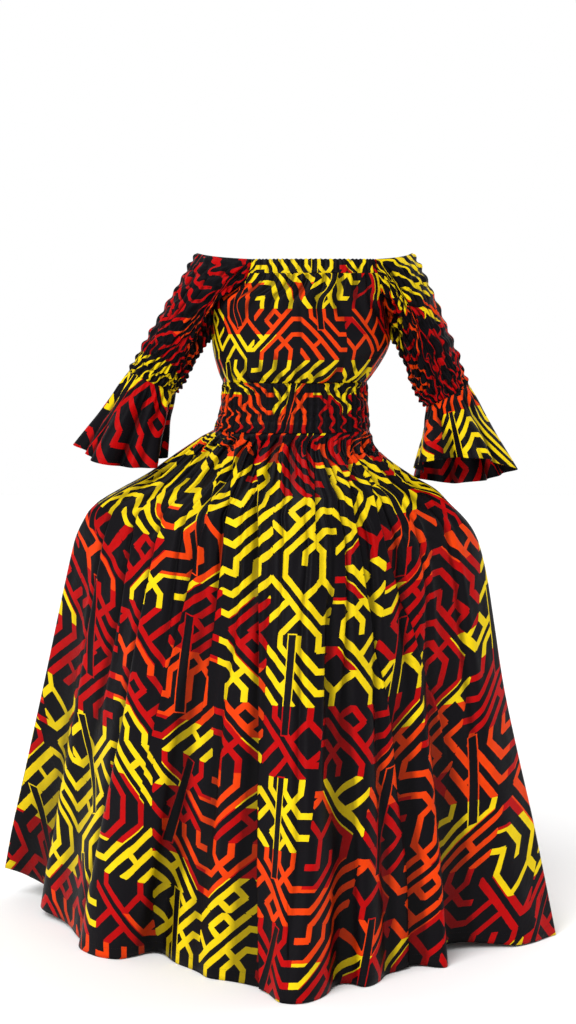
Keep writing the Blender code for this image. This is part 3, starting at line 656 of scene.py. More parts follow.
def waistBand(facing):
    downs = np.linspace(0, 1, waist["rows"] + 1)
    grid, normals, s = halfGrid(waistRow, downs, facing, waist["columns"])
    d = np.broadcast_to(downs[:, None], s.shape)
    ribAngle = 2 * math.pi * waist["ribs"] * s
    calm = smoothStep(0, 0.012, np.minimum(s, 1 - s))
    ribShare, ribRise = np.array(waist["ribRows"]).T
    rise = np.interp(d, ribShare, ribRise)
    wander = waist["ribWander"] * softNoise(s * 16, d * 2.5, 11)
    rib = 0.2 - 0.8 * np.cos(ribAngle + wander)
    fine = np.cos(2 * ribAngle + 2.6 * softNoise(s * 30, d * 3, 12))
    usual, varied = waist["unevenRibs"]
    uneven = usual + varied * softNoise(s * 25, d * 2, 13)
    move = waist["ribDepth"] * rise * (rib * uneven + waist["fineRibs"] * fine)
    for row in waist["elastic"]:
        move -= waist["elasticDepth"] * np.exp(-(((d - row) / waist["elasticReach"]) ** 2))
    grid = grid + normals * (move * calm)[..., None]
    cloth = rowLengths(grid)[:, None] * waist["fullness"]
    hidden = waist["hidden"] * np.sin(ribAngle + math.pi + wander) / (2 * math.pi * waist["ribs"])
    u = (s - 0.5 - hidden) * cloth / waist["printScale"]
    v = grid[..., 2] / waist["printScale"]
    return grid, np.stack([u, v], axis=2) + np.array(waist["printAt"])


# Skirt

skirt = {
    "columns": 316,
    "rows": 152,
    # height, reach right and left, depth in front and behind, squareness of the section
    "sections": [
        (-0.042, 0.157, 0.147, 0.115, 0.116, 2.1),
        (-0.074, 0.205, 0.153, 0.143, 0.146, 1.8),
        (-0.107, 0.255, 0.195, 0.162, 0.168, 1.62),
        (-0.135, 0.301, 0.238, 0.176, 0.184, 1.52),
        (-0.16, 0.35, 0.284, 0.187, 0.196, 1.46),
        (-0.19, 0.399, 0.316, 0.2, 0.209, 1.42),
        (-0.222, 0.419, 0.345, 0.212, 0.222, 1.4),
        (-0.262, 0.433, 0.362, 0.226, 0.236, 1.38),
        (-0.33, 0.45, 0.379, 0.249, 0.258, 1.36),
        (-0.43, 0.473, 0.395, 0.28, 0.288, 1.34),
        (-0.55, 0.5, 0.414, 0.313, 0.322, 1.32),
        (-0.68, 0.53, 0.442, 0.345, 0.354, 1.3),
        (-0.81, 0.56, 0.472, 0.375, 0.384, 1.28),
        (-0.93, 0.588, 0.497, 0.401, 0.41, 1.26),
        (-1.04, 0.61, 0.519, 0.424, 0.432, 1.24),
    ],
    # the hem's outline: x, y and how far it is lifted
    "hemFront": mm([
        (-610, 200, 60), (-560, 190, 46), (-512, 150, 30), (-520, 80, 16), (-462, 10, 8),
        (-430, -70, 4), (-405, -150, 0), (-335, -195, 0), (-268, -168, 4), (-222, -222, 0),
        (-165, -290, 0), (-112, -318, 0), (-70, -362, 2), (-30, -424, 0), (22, -420, 0), (66, -378, 0),
        (92, -338, 2), (132, -340, 0), (180, -285, 0), (228, -238, 3), (292, -236, 0), (300, -158, 14),
        (370, -132, 10), (440, -118, 3), (519, -50, 0),
    ]),
    "hemBack": mm([
        (-610, 200, 60), (-548, 262, 44), (-478, 318, 26), (-402, 312, 16), (-352, 368, 9),
        (-290, 390, 4), (-228, 372, 7), (-176, 420, 0), (-98, 428, 0), (-36, 400, 6), (20, 436, 0),
        (98, 420, 0), (140, 366, 5), (192, 372, 0), (262, 330, 0), (286, 272, 5), (352, 262, 0),
        (398, 196, 3), (462, 150, 0), (468, 78, 6), (512, 30, 3), (519, -50, 0),
    ]),
    # long folds: x at the waist and at the hem, depth, width, and the height where each starts
    "foldsFront": mm([
        (-69, -70, 13, 22, -70), (46, 90, 14, 16, -250), (-118, -190, 10, 19, -100),
        (100, 200, 9, 20, -120), (-20, 14, 6, 20, -340), (-140, -300, 9, 22, -180),
        (135, 330, 10, 22, -200),
    ]),
    "foldsBack": mm([
        (-100, -200, 12, 20, -60), (-50, -65, 12, 16, -60), (20, 60, 13, 16, -60),
        (85, 165, 12, 18, -60), (130, 290, 11, 22, -160), (-140, -310, 10, 22, -160),
    ]),
    # finer folds on top: share across at the waist and at the hem, depth, width there, first and
    # last height. A minus depth stands out.
    "softFoldsFront": [
        (0.09, 0.1, 0.005, 0.01, -0.16, -1.2), (0.17, 0.155, 0.006, 0.009, -0.08, -0.75),
        (0.235, 0.225, 0.0055, 0.008, -0.07, -1.2), (0.3, 0.285, 0.007, 0.008, -0.06, -0.62),
        (0.345, 0.335, -0.005, 0.009, -0.1, -1.2), (0.375, 0.395, 0.006, 0.006, -0.06, -0.48),
        (0.43, 0.425, 0.005, 0.007, -0.09, -0.9), (0.475, 0.455, -0.004, 0.01, -0.2, -1.2),
        (0.515, 0.505, 0.0055, 0.006, -0.06, -0.55), (0.565, 0.575, 0.005, 0.007, -0.07, -1.2),
        (0.61, 0.6, -0.0045, 0.009, -0.12, -0.8), (0.655, 0.655, 0.0065, 0.007, -0.06, -0.7),
        (0.705, 0.725, 0.0055, 0.008, -0.07, -1.2), (0.77, 0.785, 0.006, 0.009, -0.08, -0.66),
        (0.83, 0.845, 0.005, 0.009, -0.1, -1.2), (0.905, 0.91, 0.005, 0.01, -0.15, -0.85),
    ],
    "softFoldsBack": [
        (0.1, 0.09, 0.005, 0.01, -0.14, -1.2), (0.18, 0.17, 0.006, 0.009, -0.08, -0.72),
        (0.25, 0.235, 0.0055, 0.008, -0.07, -1.2), (0.33, 0.315, 0.0065, 0.008, -0.06, -0.6),
        (0.39, 0.4, -0.005, 0.009, -0.1, -1.2), (0.45, 0.44, 0.006, 0.007, -0.06, -0.8),
        (0.5, 0.51, 0.005, 0.007, -0.08, -0.5), (0.56, 0.55, -0.0045, 0.009, -0.14, -1.2),
        (0.615, 0.63, 0.006, 0.007, -0.06, -0.66), (0.68, 0.69, 0.0055, 0.008, -0.07, -1.2),
        (0.75, 0.765, 0.006, 0.009, -0.08, -0.74), (0.83, 0.84, 0.005, 0.009, -0.1, -1.2),
        (0.91, 0.915, 0.005, 0.01, -0.15, -0.9),
    ],
    # tucks on top, where cloth lies over the cloth beside it and the print is cut: x at the waist
    # and at the hem, hidden cloth, rise, first and last height, and which side lies on top
    "tucksFront": [
        (-0.069, -0.065, 0.034, 0.0058, -0.043, -1.3, 1),
        (0.036, 0.058, 0.022, 0.0028, -0.043, -0.36, -1),
        (-0.116, -0.205, 0.02, 0.0028, -0.05, -0.62, 1), (0.098, 0.215, 0.024, 0.0042, -0.05, -1.3, -1),
        (0.128, 0.345, 0.016, 0.0026, -0.09, -0.72, -1),
        (-0.022, -0.012, 0.012, 0.0018, -0.043, -0.24, 1),
        (-0.142, -0.33, 0.016, 0.0026, -0.11, -0.8, 1),
    ],
    "tucksBack": [
        (-0.085, -0.14, 0.03, 0.005, -0.043, -1.3, 1), (0.012, 0.03, 0.022, 0.0028, -0.043, -0.46, -1),
        (0.09, 0.17, 0.026, 0.0034, -0.05, -1.3, -1), (-0.13, -0.29, 0.018, 0.0026, -0.08, -0.72, 1),
        (0.13, 0.31, 0.016, 0.0026, -0.09, -0.8, -1), (-0.036, -0.05, 0.014, 0.0022, -0.043, -0.34, 1),
    ],
    # creases from the pocket mouths towards the waist: x and z of both ends, depth and width
    "pocketCreases": mm([
        (-345, -185, -165, -70, 5, 9), (-370, -215, -200, -118, 4.6, 9),
        (-360, -262, -175, -190, 4, 10), (-395, -300, -255, -262, 3.4, 10),
        (275, -180, 150, -72, 5, 9), (300, -212, 172, -128, 4.6, 9), (290, -258, 150, -200, 3.8, 10),
        (335, -300, 215, -268, 3.4, 10),
    ]),
    "hemStarts": -0.16,
    "hemPower": 0.8,
    "foldFade": 0.14,
    "gathers": 15,
    "gatherDepth": 0.0075,
    "gathersStart": -0.095,
    "gathersEnd": -0.225,
    "fineGathers": 41,
    "fineGatherDepth": 0.0028,
    # the swell beside a soft fold, the gap across a tuck, and how far its rise reaches at the waist
    # and how much farther at the hem
    "foldSwell": 0.55,
    "tuckGap": 0.0015,
    "tuckReach": (0.013, 0.017),
    # coarse and fine crumpling: depth, patches across and for each metre down, seed
    "coarseCrumple": (0.0022, 26, 7, 23),
    "fineCrumple": (0.001, 60, 18, 25),
    # the section numbers between which each pocket mouth is open, how wide, and how far it leans in
    "pocketTop": 3,
    "pocketBottom": 7,
    "pocketGape": 0.03,
    "pocketInwards": 0.25,
    # cloth across at the waist, share of it hidden in the gathers, and columns the print is evened over
    "waistCloth": 0.7,
    "hidden": 0.8,
    "printEvened": 18,
    "printAtFront": (0.004, 0.005),
    "printAtBack": (0.11, 0.13),
}


def skirtRow(place, facing, shares):
    height, right, left, front, back, squareness = curveAt(skirt["sections"], place)[0]
    last = skirt["sections"][-1]
    section = halfSection(right, left, front if facing < 0 else back, squareness, shares)
    section[:, 1] *= facing
    hem = alongLine(through(skirt["hem" + halfName(facing)], 240), shares)
    widths = np.where(hem[:, 0] < 0, right / last[1], left / last[2])
    depths = (front + back) / (last[3] + last[4])
    down = np.clip((skirt["hemStarts"] - height) / (skirt["hemStarts"] - last[0]), 0, 1)
    part = down ** skirt["hemPower"]
    x = (1 - part) * section[:, 0] + part * hem[:, 0] * widths
    y = (1 - part) * section[:, 1] + part * hem[:, 1] * depths
    points = np.stack([x, y, height + hem[:, 2] * part**2], axis=1)
    along = np.gradient(points[:, :2], axis=0)
    normal = np.stack([along[:, 1], -along[:, 0]], axis=1) * -facing
    normal /= np.linalg.norm(normal, axis=1)[:, None]
    fading = 1 - smoothStep(skirt["gathersStart"], skirt["gathersEnd"], height)
    uneven = 0.8 + 0.25 * np.sin(7.3 * shares + facing) + 0.15 * np.sin(17.1 * shares)
    gathers = np.cos(2 * math.pi * skirt["gathers"] * shares + math.pi)
    move = skirt["gatherDepth"] * fading * uneven * gathers
    fall = smoothStep(skirt["sections"][0][0], last[0], height)
    for atWaist, atHem, depth, width, starts in skirt["folds" + halfName(facing)]:
        centre = atWaist + (atHem - atWaist) * fall**0.6
        spread = width * (0.8 + 1.2 * fall)
        strength = smoothStep(starts, starts - skirt["foldFade"], height)
        move -= depth * strength * np.exp(-(((points[:, 0] - centre) / spread) ** 2))
    calm = smoothStep(0, 0.05, np.minimum(shares, 1 - shares)) * min(1.0, place * 2.2)
    points[:, :2] += normal * (move * calm)[:, None]
    if skirt["pocketTop"] < place < skirt["pocketBottom"]:
        share = (place - skirt["pocketTop"]) / (skirt["pocketBottom"] - skirt["pocketTop"])
        gape = skirt["pocketGape"] * math.sin(math.pi * share)
        near = 1 - smoothStep(0, 0.09, np.minimum(shares, 1 - shares))
        points[:, 1] += facing * gape * near
        points[:, 0] -= np.sign(points[:, 0]) * skirt["pocketInwards"] * gape * near
    return points


# from 0 under the waist to 1 at the hem
def fallAt(z):
    return smoothStep(-0.06, -1.04, z)


# shares across for every row, with a pair of columns close together along each tuck
def columnsAlongTucks(places, facing, tucks):
    even = np.linspace(0, 1, 241)
    rows = np.stack([skirtRow(place, facing, even) for place in places])
    z = rows[:, len(even) // 2, 2]
    fall = fallAt(z)
    lines = []
    for tuck in tucks:
        x = tuck[0] + (tuck[1] - tuck[0]) * fall**0.7 + 0.004 * softNoise(z * 7, z * 0 + tuck[0] * 40, 27)
        lines.append([np.interp(place, row[:, 0], even) for place, row in zip(x, rows)])
    lines = np.array(lines).T
    numbers = np.round(lines.mean(axis=0) * skirt["columns"])
    columns = np.arange(skirt["columns"] + 1)
    knots = np.concatenate([[0], np.stack([numbers, numbers + 1], axis=1).reshape(-1), columns[-1:]])
    shares = []
    for line, length in zip(lines, rowLengths(rows)):
        pairs = np.stack([line, line + skirt["tuckGap"] / length], axis=1).reshape(-1)
        shares.append(np.interp(columns, knots, np.concatenate([[0], pairs, [1]])))
    return np.array(shares), lines, numbers


def skirtPanel(facing):
    tucks = sorted(skirt["tucks" + halfName(facing)])
    places = np.linspace(0, len(skirt["sections"]) - 1, skirt["rows"] + 1)
    shares, lines, numbers = columnsAlongTucks(places, facing, tucks)
    base = np.stack([skirtRow(place, facing, row) for place, row in zip(places, shares)])
    grid = ordered(base, facing)
    normals = outwardNormals(grid)
    s = ordered(shares, facing)
    column = ordered(np.broadcast_to(np.arange(skirt["columns"] + 1), s.shape), facing)
    lengths = rowLengths(base)[:, None]
    z = grid[..., 2]
    angle = 2 * math.pi * s
    fall = fallAt(z)
    edge = smoothStep(0, 0.03, np.minimum(s, 1 - s))
    seamFree = smoothStep(-0.043, -0.056, z)
    fine = np.cos(skirt["fineGathers"] * angle + 2.4 * softNoise(s * 14, z * 9, 21 + facing))
    move = skirt["fineGatherDepth"] * smoothStep(-0.17, -0.07, z) * seamFree * fine
    for atWaist, atHem, depth, width, first, final in skirt["softFolds" + halfName(facing)]:
        centre = atWaist + (atHem - atWaist) * fall + 0.006 * softNoise(z * 5, z * 0 + atWaist * 40, 22)
        strength = smoothStep(first + 0.02, first - 0.06, z) * smoothStep(final - 0.02, final + 0.3, z)
        away = (s - centre) / (width * (0.62 + 0.9 * fall))
        roll = skirt["foldSwell"] * np.exp(-(((away - 1.7) / 1.1) ** 2)) - np.exp(-(away**2))
        move += depth * strength * roll * (0.95 + 0.5 * fall)
    tucked = np.zeros_like(s)
    near, farther = skirt["tuckReach"]
    for (atWaist, _, hiddenCloth, rise, first, final, over), line, number in zip(tucks, lines.T, numbers):
        strength = smoothStep(first + 0.004, first - 0.05, z) * smoothStep(final - 0.02, final + 0.3, z)
        away = np.abs(s - line[:, None]) * lengths / (near + farther * fall)
        move += rise * strength * over * np.where(column > number, 1, -1) * np.exp(-away)
        shift = np.heaviside(column - number, 0) - (atWaist < 0)
        tucked += hiddenCloth * strength * (1 - 0.5 * fall) * shift
    move += creases(grid[..., 0], z, skirt["pocketCreases"])
    for key, strength in (("coarseCrumple", smoothStep(-0.1, -0.3, z)), ("fineCrumple", seamFree)):
        depth, across, down, seed = skirt[key]
        move += depth * softNoise(s * across, z * down, seed + facing) * strength
    grid = grid + normals * (move * edge * seamFree)[..., None]
    fullness = 1 - smoothStep(-0.042, -0.24, base[:, :1, 2])
    cloth = lengths + (skirt["waistCloth"] - lengths[0]) * fullness
    hidden = (1 - lengths / cloth) * skirt["hidden"] * np.sin(skirt["gathers"] * angle + math.pi)
    u = (s - 0.5 - hidden / (2 * math.pi * skirt["gathers"])) * cloth + tucked
    wide = skirt["printEvened"]
    run = np.pad(downDistance(ordered(base, facing)), ((0, 0), (wide, wide)), mode="edge")
    v = -sum(run[:, k:k + s.shape[1]] for k in range(2 * wide + 1)) / (2 * wide + 1)
    return grid, np.stack([u, v], axis=2) + np.array(skirt["printAt" + halfName(facing)])


# Sleeves, flounces and pockets

# right, left, front, back, height, from the armhole seam to the outermost point
neckEdge = mm([
    (-80, 153, -105, 108, 285),
    (-112, 178, -98, 100, 287),
    (-143, 199, -81, 83, 290),
    (-168, 215, -55, 57, 294),
    (-183, 224, -28, 29, 298),
    (-188, 228, 0, 0, 300),
])
sleeves = {
    "columnSteps": 6,
    "rows": 150,
    "bands": 10,
    "puffs": 20,
    # how full a puff is, its depth, that of the smaller ones on it and of the dents between bands
    "puffShape": 0.65,
    "puffDepth": 0.004,
    "smallPuffDepth": 0.0017,
    "dentDepth": 0.0012,
    "pleats": 45,
    "pleatDepth": 0.0009,
    # cloth round and along, and how far the print is pushed with each puff, with the bands and down
    "fullness": 1.45,
    "lengthFullness": 1.25,
    "printPush": (0.0072, 0.004, 0.0062),
    "printScale": 0.96,
    "ease": 0.62,
    "endSpread": 0.75,
    "startWays": [(0.4, 0.0, 0.92), (0.5, 0.3, 0.8), (0.75, 0.2, 0.52), (0.97, 0.05, 0.05),
                  (0.99, 0.0, 0.1), (0.9, 0.0, 0.44)],
    # on each side, where the sleeve ends and the flounce's hem: outer and inner x and z, y, half depth
    "right": {"outwards": -1, "arm": ((-0.323, 0.072), (-0.231, 0.03), 0.018, 0.048), "plump": 0.005,
              "hem": ((-0.417, -0.077), (-0.257, -0.1), 0.004, 0.078), "frontLift": -0.02, "waves": 5,
              "wave": 0.013, "waveTurn": 0.9, "printDown": 0.02, "flouncePrintDown": 0.1},
    "left": {"outwards": 1, "arm": ((0.342, 0.045), (0.259, 0.003), 0.018, 0.047), "plump": 0.01,
             "hem": ((0.419, -0.122), (0.235, -0.122), 0.006, 0.084), "frontLift": 0.032, "waves": 5,
             "wave": 0.015, "waveTurn": 0.4, "printDown": 0.11, "flouncePrintDown": 0.17},
}
flounces = {
    "rows": 60,
    "swell": -0.004,
    # gathers and finer ones under the seam: count round, depth and share of the way down they end
    "gathers": (10, 0.003, 0.62),
    "fineGathers": (29, 0.0016, 0.34),
    # uneven flutes towards the hem: count round, depth and turn of the wide ones, then of the narrow
    "wideFlutes": (9, 0.005, 2.1),
    "narrowFlutes": (13, 0.0034),
    "printScale": 0.95,
}


# the seam ring of a sleeve, with the same places as the bodice's edges
def armholeRing(side):
    steps = sleeves["columnSteps"]
    pick = 0 if side == "right" else 1
    under = torso["underarmPlace"]
    neck = through(neckEdge, len(neckEdge) * steps)
    seam = curveAt(torso["sections"], np.linspace(0, under, under * steps + 1))
    neckFront, neckBack = neck[:, [pick, 2, 4]], neck[:, [pick, 3, 4]]
    seamFront, seamBack = seam[:, [1 + pick, 3, 0]], seam[:, [1 + pick, 4, 0]]
    ring = np.concatenate([neckFront[:0:-1], seamFront, seamBack[-2:0:-1], neckBack[:-1]])
    if side == "left":
        ring = np.concatenate([ring[:1], ring[:0:-1]])
    return ring


def armRing(ends, count, side):
    outer, inner, middleY, depth = (np.array(value) for value in ends)
    turn = 2 * math.pi * np.arange(count) / count
    flat = (outer + inner) / 2 + (outer - inner) / 2 * np.cos(turn)[:, None]
    y = middleY + (-1 if side == "right" else 1) * depth * np.sin(turn)
    return np.stack([flat[:, 0], y, flat[:, 1]], axis=1)


# a length round a tube as a whole number of repeats of the print, so that it joins up
def wholeRepeats(length):
    repeat = 2 * waxPrint["cell"] * waxPrint["step"]
    return round(length / repeat) * repeat


# adds the last column of UVs, one whole turn on
def closedUv(u, v, period):
    u = np.concatenate([u, u[:, :1] + period], axis=1)
    v = np.concatenate([v, v[:, :1]], axis=1)
    return np.stack([u, v], axis=2)


def sleevePiece(side):
    size = sleeves[side]
    start = armholeRing(side)
    count, half = len(start), len(start) // 2
    end = armRing(size["arm"], count, side)
    ways = through(sleeves["startWays"], half)
    ways = np.concatenate([ways, ways[-2:0:-1]])
    forwards = np.where(np.arange(count) <= half, -1, 1) * -size["outwards"]
    leave = np.stack([ways[:, 0] * size["outwards"], ways[:, 1] * forwards, -ways[:, 2]], axis=1)
    leave /= np.linalg.norm(leave, axis=1)[:, None]
    arrive = np.array([size["outwards"] * sleeves["endSpread"], 0, -1])
    arrive /= np.linalg.norm(arrive)
    reach = sleeves["ease"] * np.linalg.norm(end - start, axis=1)[:, None]
    shares = np.linspace(0, 1, sleeves["rows"] + 1)
    grid = np.stack([(2 * t**3 - 3 * t**2 + 1) * start + (t**3 - 2 * t**2 + t) * leave * reach
                     + (3 * t**2 - 2 * t**3) * end + (t**3 - t**2) * arrive * reach for t in shares])
    away = grid - grid.mean(axis=1, keepdims=True)
    away /= np.linalg.norm(away, axis=2, keepdims=True)
    grid += away * (size["plump"] * np.sin(math.pi * shares))[:, None, None]
    normals = outwardNormals(grid, closed=True)
    turn = np.broadcast_to(np.arange(count) / count, grid.shape[:2])
    t = np.broadcast_to(shares[:, None], turn.shape)
    angle = 2 * math.pi * turn
    puffAngle = sleeves["puffs"] * angle
    band = t * sleeves["bands"] + 0.1 * np.sin(angle + 1.3)
    row = np.floor(band)
    puff = (0.5 - 0.5 * np.cos(2 * math.pi * band)) ** sleeves["puffShape"]
    parity = np.where(row % 2, math.pi, 0)
    wander = 1.5 * np.sin(3 * angle + row * 1.7)
    checker = np.cos(puffAngle + parity + 0.9 * wander)
    small = np.cos(2 * puffAngle + wander + row)
    pleats = np.cos(sleeves["pleats"] * angle + 1.2 * np.sin(5 * angle + band))
    uneven = 0.95 + 0.3 * np.sin(5 * angle + 2.1 * row) + 0.22 * np.sin(9 * angle + 1.3 * row + 1.0)
    move = sleeves["puffDepth"] * puff * (0.42 + 0.58 * checker) * uneven
    move += sleeves["smallPuffDepth"] * puff * small - sleeves["dentDepth"] * (1 - puff)
    move += sleeves["pleatDepth"] * pleats * (1 - 0.4 * puff)
    ends = smoothStep(0, 0.03, t) * smoothStep(1, 0.985, t)
    fade = 0.5 + 0.5 * smoothStep(0.0, 0.16, t)
    grid = grid + normals * (move * ends * fade)[..., None]
    girth, scale = rowLengths(grid, closed=True).mean(), sleeves["printScale"]
    period = wholeRepeats(sleeves["fullness"] * girth / scale)
    down = downDistance(grid).mean(axis=1)[:, None] * sleeves["lengthFullness"] / scale
    withPuffs, withBands, downwards = sleeves["printPush"]
    u = turn * period + withPuffs * np.sin(puffAngle + parity) * puff
    u = u + withBands * np.sin(2 * math.pi * band + 4 * angle)
    v = size["printDown"] - down + downwards * checker * (puff - 0.4)
    return grid, closedUv(u, v, period)


def flouncePiece(side):
    size = sleeves[side]
    count = len(armholeRing(side))
    start, end = armRing(size["arm"], count, side), armRing(size["hem"], count, side)
    turn = 2 * math.pi * np.arange(count) / count
    centre = end.mean(axis=0)
    away = (end - centre) / np.linalg.norm(end - centre, axis=1)[:, None]
    hemY, hemDepth = size["hem"][2:]
    frontness = (hemY - end[:, 1]) / hemDepth
    end = end + away * (size["wave"] * np.cos(size["waves"] * turn + size["waveTurn"]))[:, None]
    end[:, 2] += size["frontLift"] * frontness
    wideCount, wideDepth, wideTurn = flounces["wideFlutes"]
    narrowCount, narrowDepth = flounces["narrowFlutes"]
    flutes = wideDepth * np.cos(wideCount * turn + wideTurn)
    flutes += narrowDepth * np.cos(narrowCount * turn + size["waveTurn"])
    rings = []
    for share in np.linspace(0, 1, flounces["rows"] + 1):
        move = flounces["swell"] * math.sin(math.pi * share) * (1 - share) + share**1.5 * flutes
        for key, wander in (("gathers", 0), ("fineGathers", 1.4)):
            gathers, depth, ending = flounces[key]
            strength = depth * math.sin(math.pi * min(1.0, share / ending))
            move = move + strength * np.cos(gathers * turn + wander * np.sin(4 * turn))
        rings.append((1 - share) * start + share * end + away * move[:, None])
    grid = np.stack(rings)
    period = wholeRepeats(rowLengths(grid, closed=True)[-8] / flounces["printScale"])
    u = np.broadcast_to(turn / (2 * math.pi) * period, grid.shape[:2])
    v = size["flouncePrintDown"] - downDistance(grid).mean(axis=1)[:, None] / flounces["printScale"]
    return grid, closedUv(u, np.broadcast_to(v, u.shape), period)


pocketBag = {
    "rows": 30,
    "edgeSteps": 32,
    "clothRound": 0.3,
    # how far in and down each ring lies, its thickness and its size
    "rings": [(0.02, -0.016, 0.9, 0.84), (0.058, -0.045, 0.75, 0.86), (0.09, -0.09, 0.55, 0.8),
              (0.105, -0.125, 0.3, 0.58), (0.107, -0.13, 0.02, 0.54)],
}


def pocketPiece(side):
    end, inward = (0, 1) if side == "right" else (-1, -1)
    places = np.linspace(skirt["pocketTop"], skirt["pocketBottom"], pocketBag["edgeSteps"] + 1)
    shares = np.linspace(0, 1, skirt["columns"] + 1)
    front, back = (np.array([skirtRow(place, facing, shares)[end] for place in places])
                   for facing in (-1, 1))
    ring = np.concatenate([front, back[-2:0:-1]])
    if side == "left":
        ring = np.concatenate([ring[:1], ring[:0:-1]])
    centre = ring.mean(axis=0)
    rings = [ring]
    for inwards, drop, thickness, size in pocketBag["rings"]:
        shrunk = (ring - centre) * np.array([size, thickness, size])
        rings.append(centre + shrunk + np.array([inward * inwards, 0, drop]))
    flat = np.stack(rings).reshape(len(rings), -1)
    grid = through(flat, pocketBag["rows"]).reshape(pocketBag["rows"] + 1, -1, 3)
    turn = np.broadcast_to(np.arange(len(ring)) / len(ring), grid.shape[:2])
    clothRound = pocketBag["clothRound"]
    return grid, closedUv(turn * clothRound, -downDistance(grid), clothRound)


# Make the pieces

# For each kind of piece: its name, look and slot, what it was cut to before it was gathered, and the
# columns and rows away of the cloth that its folds are compared with, and how deep a full trough is, for
# the painted shade in the folds
kinds = {
    "neckband": {"name": "neck_band_", "look": "bodice", "slot": "print_upper", "flat": (0.3, 0.026),
                 "reach": (5, 0), "trough": 0.0008},
    "bodice": {"name": "bodice_panel_", "look": "bodice", "slot": "print_upper", "flat": (0.52, 0.235),
               "area": 0.108, "reach": (6, 0), "trough": 0.0013},
    "waistband": {"name": "shirred_band_", "look": "band", "slot": "print_waistband",
                  "flat": (0.55, 0.098), "reach": (5, 2), "trough": 0.0013},
    "skirt": {"name": "skirt_panel_", "look": "skirt", "slot": "print_skirt", "flat": (1.75, 1.03),
              "area": 1.26, "reach": (9, 0), "trough": 0.0042},
    "sleeve": {"name": "smocked_sleeve_", "look": "sleeve", "slot": "print_sleeves",
               "flat": (0.56, 0.25), "area": 0.128, "reach": (5, 6), "trough": 0.0014},
    "flounce": {"name": "bell_flounce_", "look": "flounce", "slot": "print_sleeves",
                "flat": (0.5, 0.16), "reach": (8, 0), "trough": 0.0026},
    "pocket": {"name": "pocket_bag_", "look": "pocket", "slot": "pocket_cotton", "flat": (0.34, 0.17),
               "held": "hung"},
}


def rowStitches(name, grid, row, closed):
    line, up = grid[row], outwardNormals(grid, closed)[row]
    if closed:
        line, up = np.concatenate([line, line[:1]]), np.concatenate([up, up[:1]])
    return stitchLine(name, line + up * stitch["lift"], up, thread)


# one piece with a row of stitches for each named row, laid on the solid of its kind and word
def sewPiece(kind, word, cloth, stitchRows=(), closed=False):
    item = kinds[kind]
    grid, uv = cloth
    stitches = [rowStitches(name, grid, row, closed) for name, row in stitchRows]
    # painted shade in the folds, from how deep each point lies in one
    foldShade = foldShadeShares(grid, item["reach"], item["trough"], closed) if "reach" in item else None
    piece = clothPiece(item["name"] + word, grid, uv, materials[item["look"]], foldShade, closed)
    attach(piece, "root")
    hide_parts(kind + "_" + word)
    for row in stitches:
        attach(row, "root")


for word, facing in (("front", -1), ("back", 1)):
    sewPiece("neckband", word, neckBand(facing),
             [("neck_stitches_" + word, torso["bandRows"] - 2)])
    sewPiece("bodice", word, bodicePanel(facing))
    rows = [min(waist["rows"] - 1, round(share * waist["rows"])) for share in waist["elastic"]]
    sewPiece("waistband", word, waistBand(facing),
             [("elastic_stitches_%s_%d" % (word, k), row) for k, row in enumerate(rows)])
    sewPiece("skirt", word, skirtPanel(facing),
             [("hem_stitches_" + word, skirt["rows"] - 2)])
    print("cloth made:", word)

for side in ("right", "left"):
    sewPiece("sleeve", side, sleevePiece(side), closed=True)
    sewPiece("flounce", side, flouncePiece(side),
             [("flounce_stitches_" + side, flounces["rows"] - 3)], closed=True)
    sewPiece("pocket", side, pocketPiece(side), closed=True)
    print("cloth made:", side, "sleeve, flounce and pocket")


# Floor, light and camera

studio = {
    "floorHeight": -1.0412,
    "wallDistance": 9.0,
    "wallGlow": 1.0,
    "planeSize": 60,
    "aim": (0, 0, -0.35),
    # strength, softness in degrees, and where each lamp stands
    "sun": {"strength": 1.9, "softness": 38, "at": (-2.2, -3.4, 4.6)},
    "key": {"energy": 26.0, "size": 1.6, "at": (-1.9, -3.0, 1.3)},
    "rim": {"energy": 14.0, "size": 1.6, "at": (2.6, 0.9, 1.6)},
    "air": 0.55,
    # the camera as worked out from the photograph, its tilt in degrees, the rest in pixels
    "camera": {"at": (-0.012, -3.6, 0.175), "tilt": 84, "focal": 1846, "pictureHeight": 1024},
}


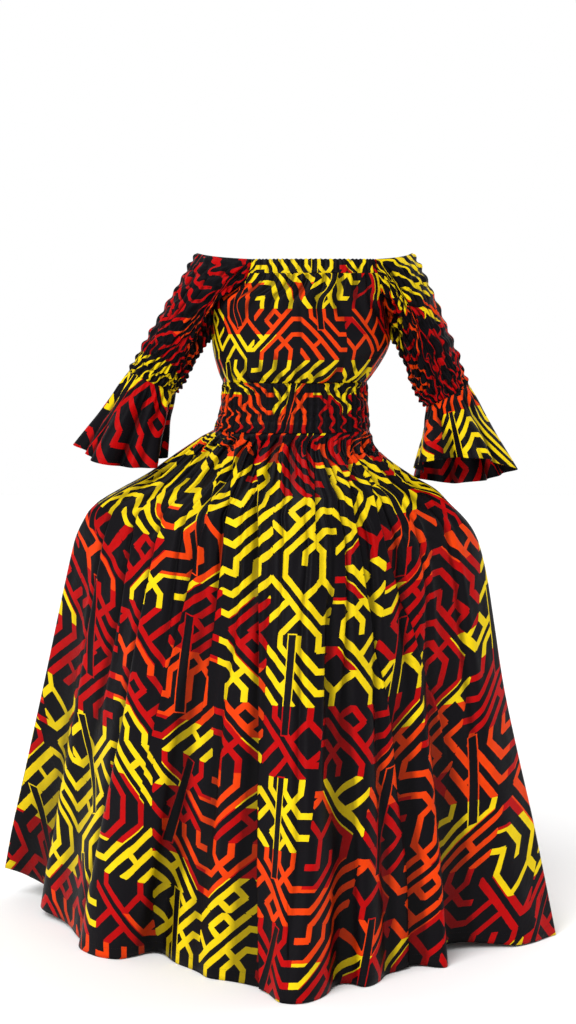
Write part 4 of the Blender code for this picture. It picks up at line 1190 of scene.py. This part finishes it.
def stagePlane(name, location, rotation, paint):
    bpy.ops.object.select_all(action="DESELECT")
    bpy.ops.mesh.primitive_plane_add(size=studio["planeSize"], location=location, rotation=rotation)
    plane = bpy.context.active_object
    plane.name = name
    bpy.ops.object.transform_apply(location=True, rotation=True, scale=True)
    plane.data.materials.append(paint)


floorPaint = Paint("pale floor").finish({}, {"Base Color": (0.95, 0.95, 0.95, 1), "Roughness": 0.9,
                                             "Specular IOR Level": 0.1})
wallPaint = Paint("white wall").finish({}, {"Base Color": (0.0, 0.0, 0.0, 1), "Specular IOR Level": 0.0,
                                            "Emission Color": (1, 1, 1, 1),
                                            "Emission Strength": studio["wallGlow"]})
stagePlane("pale_floor", (0, 0, studio["floorHeight"]), (0, 0, 0), floorPaint)
stagePlane("white_wall", (0, studio["wallDistance"], 0), (math.pi / 2, 0, 0), wallPaint)


def aimed(name, data, at):
    lamp = bpy.data.objects.new(name, data)
    lamp.location = at
    way = np.array(studio["aim"]) - np.array(at)
    lamp.rotation_euler = (math.atan2(math.hypot(way[0], way[1]), -way[2]), 0,
                           math.atan2(way[1], way[0]) - math.pi / 2)
    bpy.context.scene.collection.objects.link(lamp)


sunLamp = bpy.data.lights.new("soft sun", "SUN")
sunLamp.energy = studio["sun"]["strength"]
sunLamp.angle = math.radians(studio["sun"]["softness"])
aimed(sunLamp.name, sunLamp, studio["sun"]["at"])
for lampName in ("key", "rim"):
    softbox = bpy.data.lights.new(lampName + " softbox", "AREA")
    softbox.energy, softbox.size = studio[lampName]["energy"], studio[lampName]["size"]
    aimed(softbox.name, softbox, studio[lampName]["at"])

world = bpy.data.worlds.new("studio air")
world.use_nodes = True
background = world.node_tree.nodes["Background"]
background.inputs["Color"].default_value = (1, 1, 1, 1)
background.inputs["Strength"].default_value = studio["air"]
bpy.context.scene.world = world
bpy.context.scene.view_settings.view_transform = "Standard"

lens = bpy.data.cameras.new("photo camera")
lens.sensor_width = 36
lens.lens = studio["camera"]["focal"] * lens.sensor_width / studio["camera"]["pictureHeight"]
camera = bpy.data.objects.new("photo camera", lens)
camera.location = studio["camera"]["at"]
camera.rotation_euler = (math.radians(studio["camera"]["tilt"]), 0, 0)
bpy.context.scene.collection.objects.link(camera)
bpy.context.scene.camera = camera
print("studio ready")
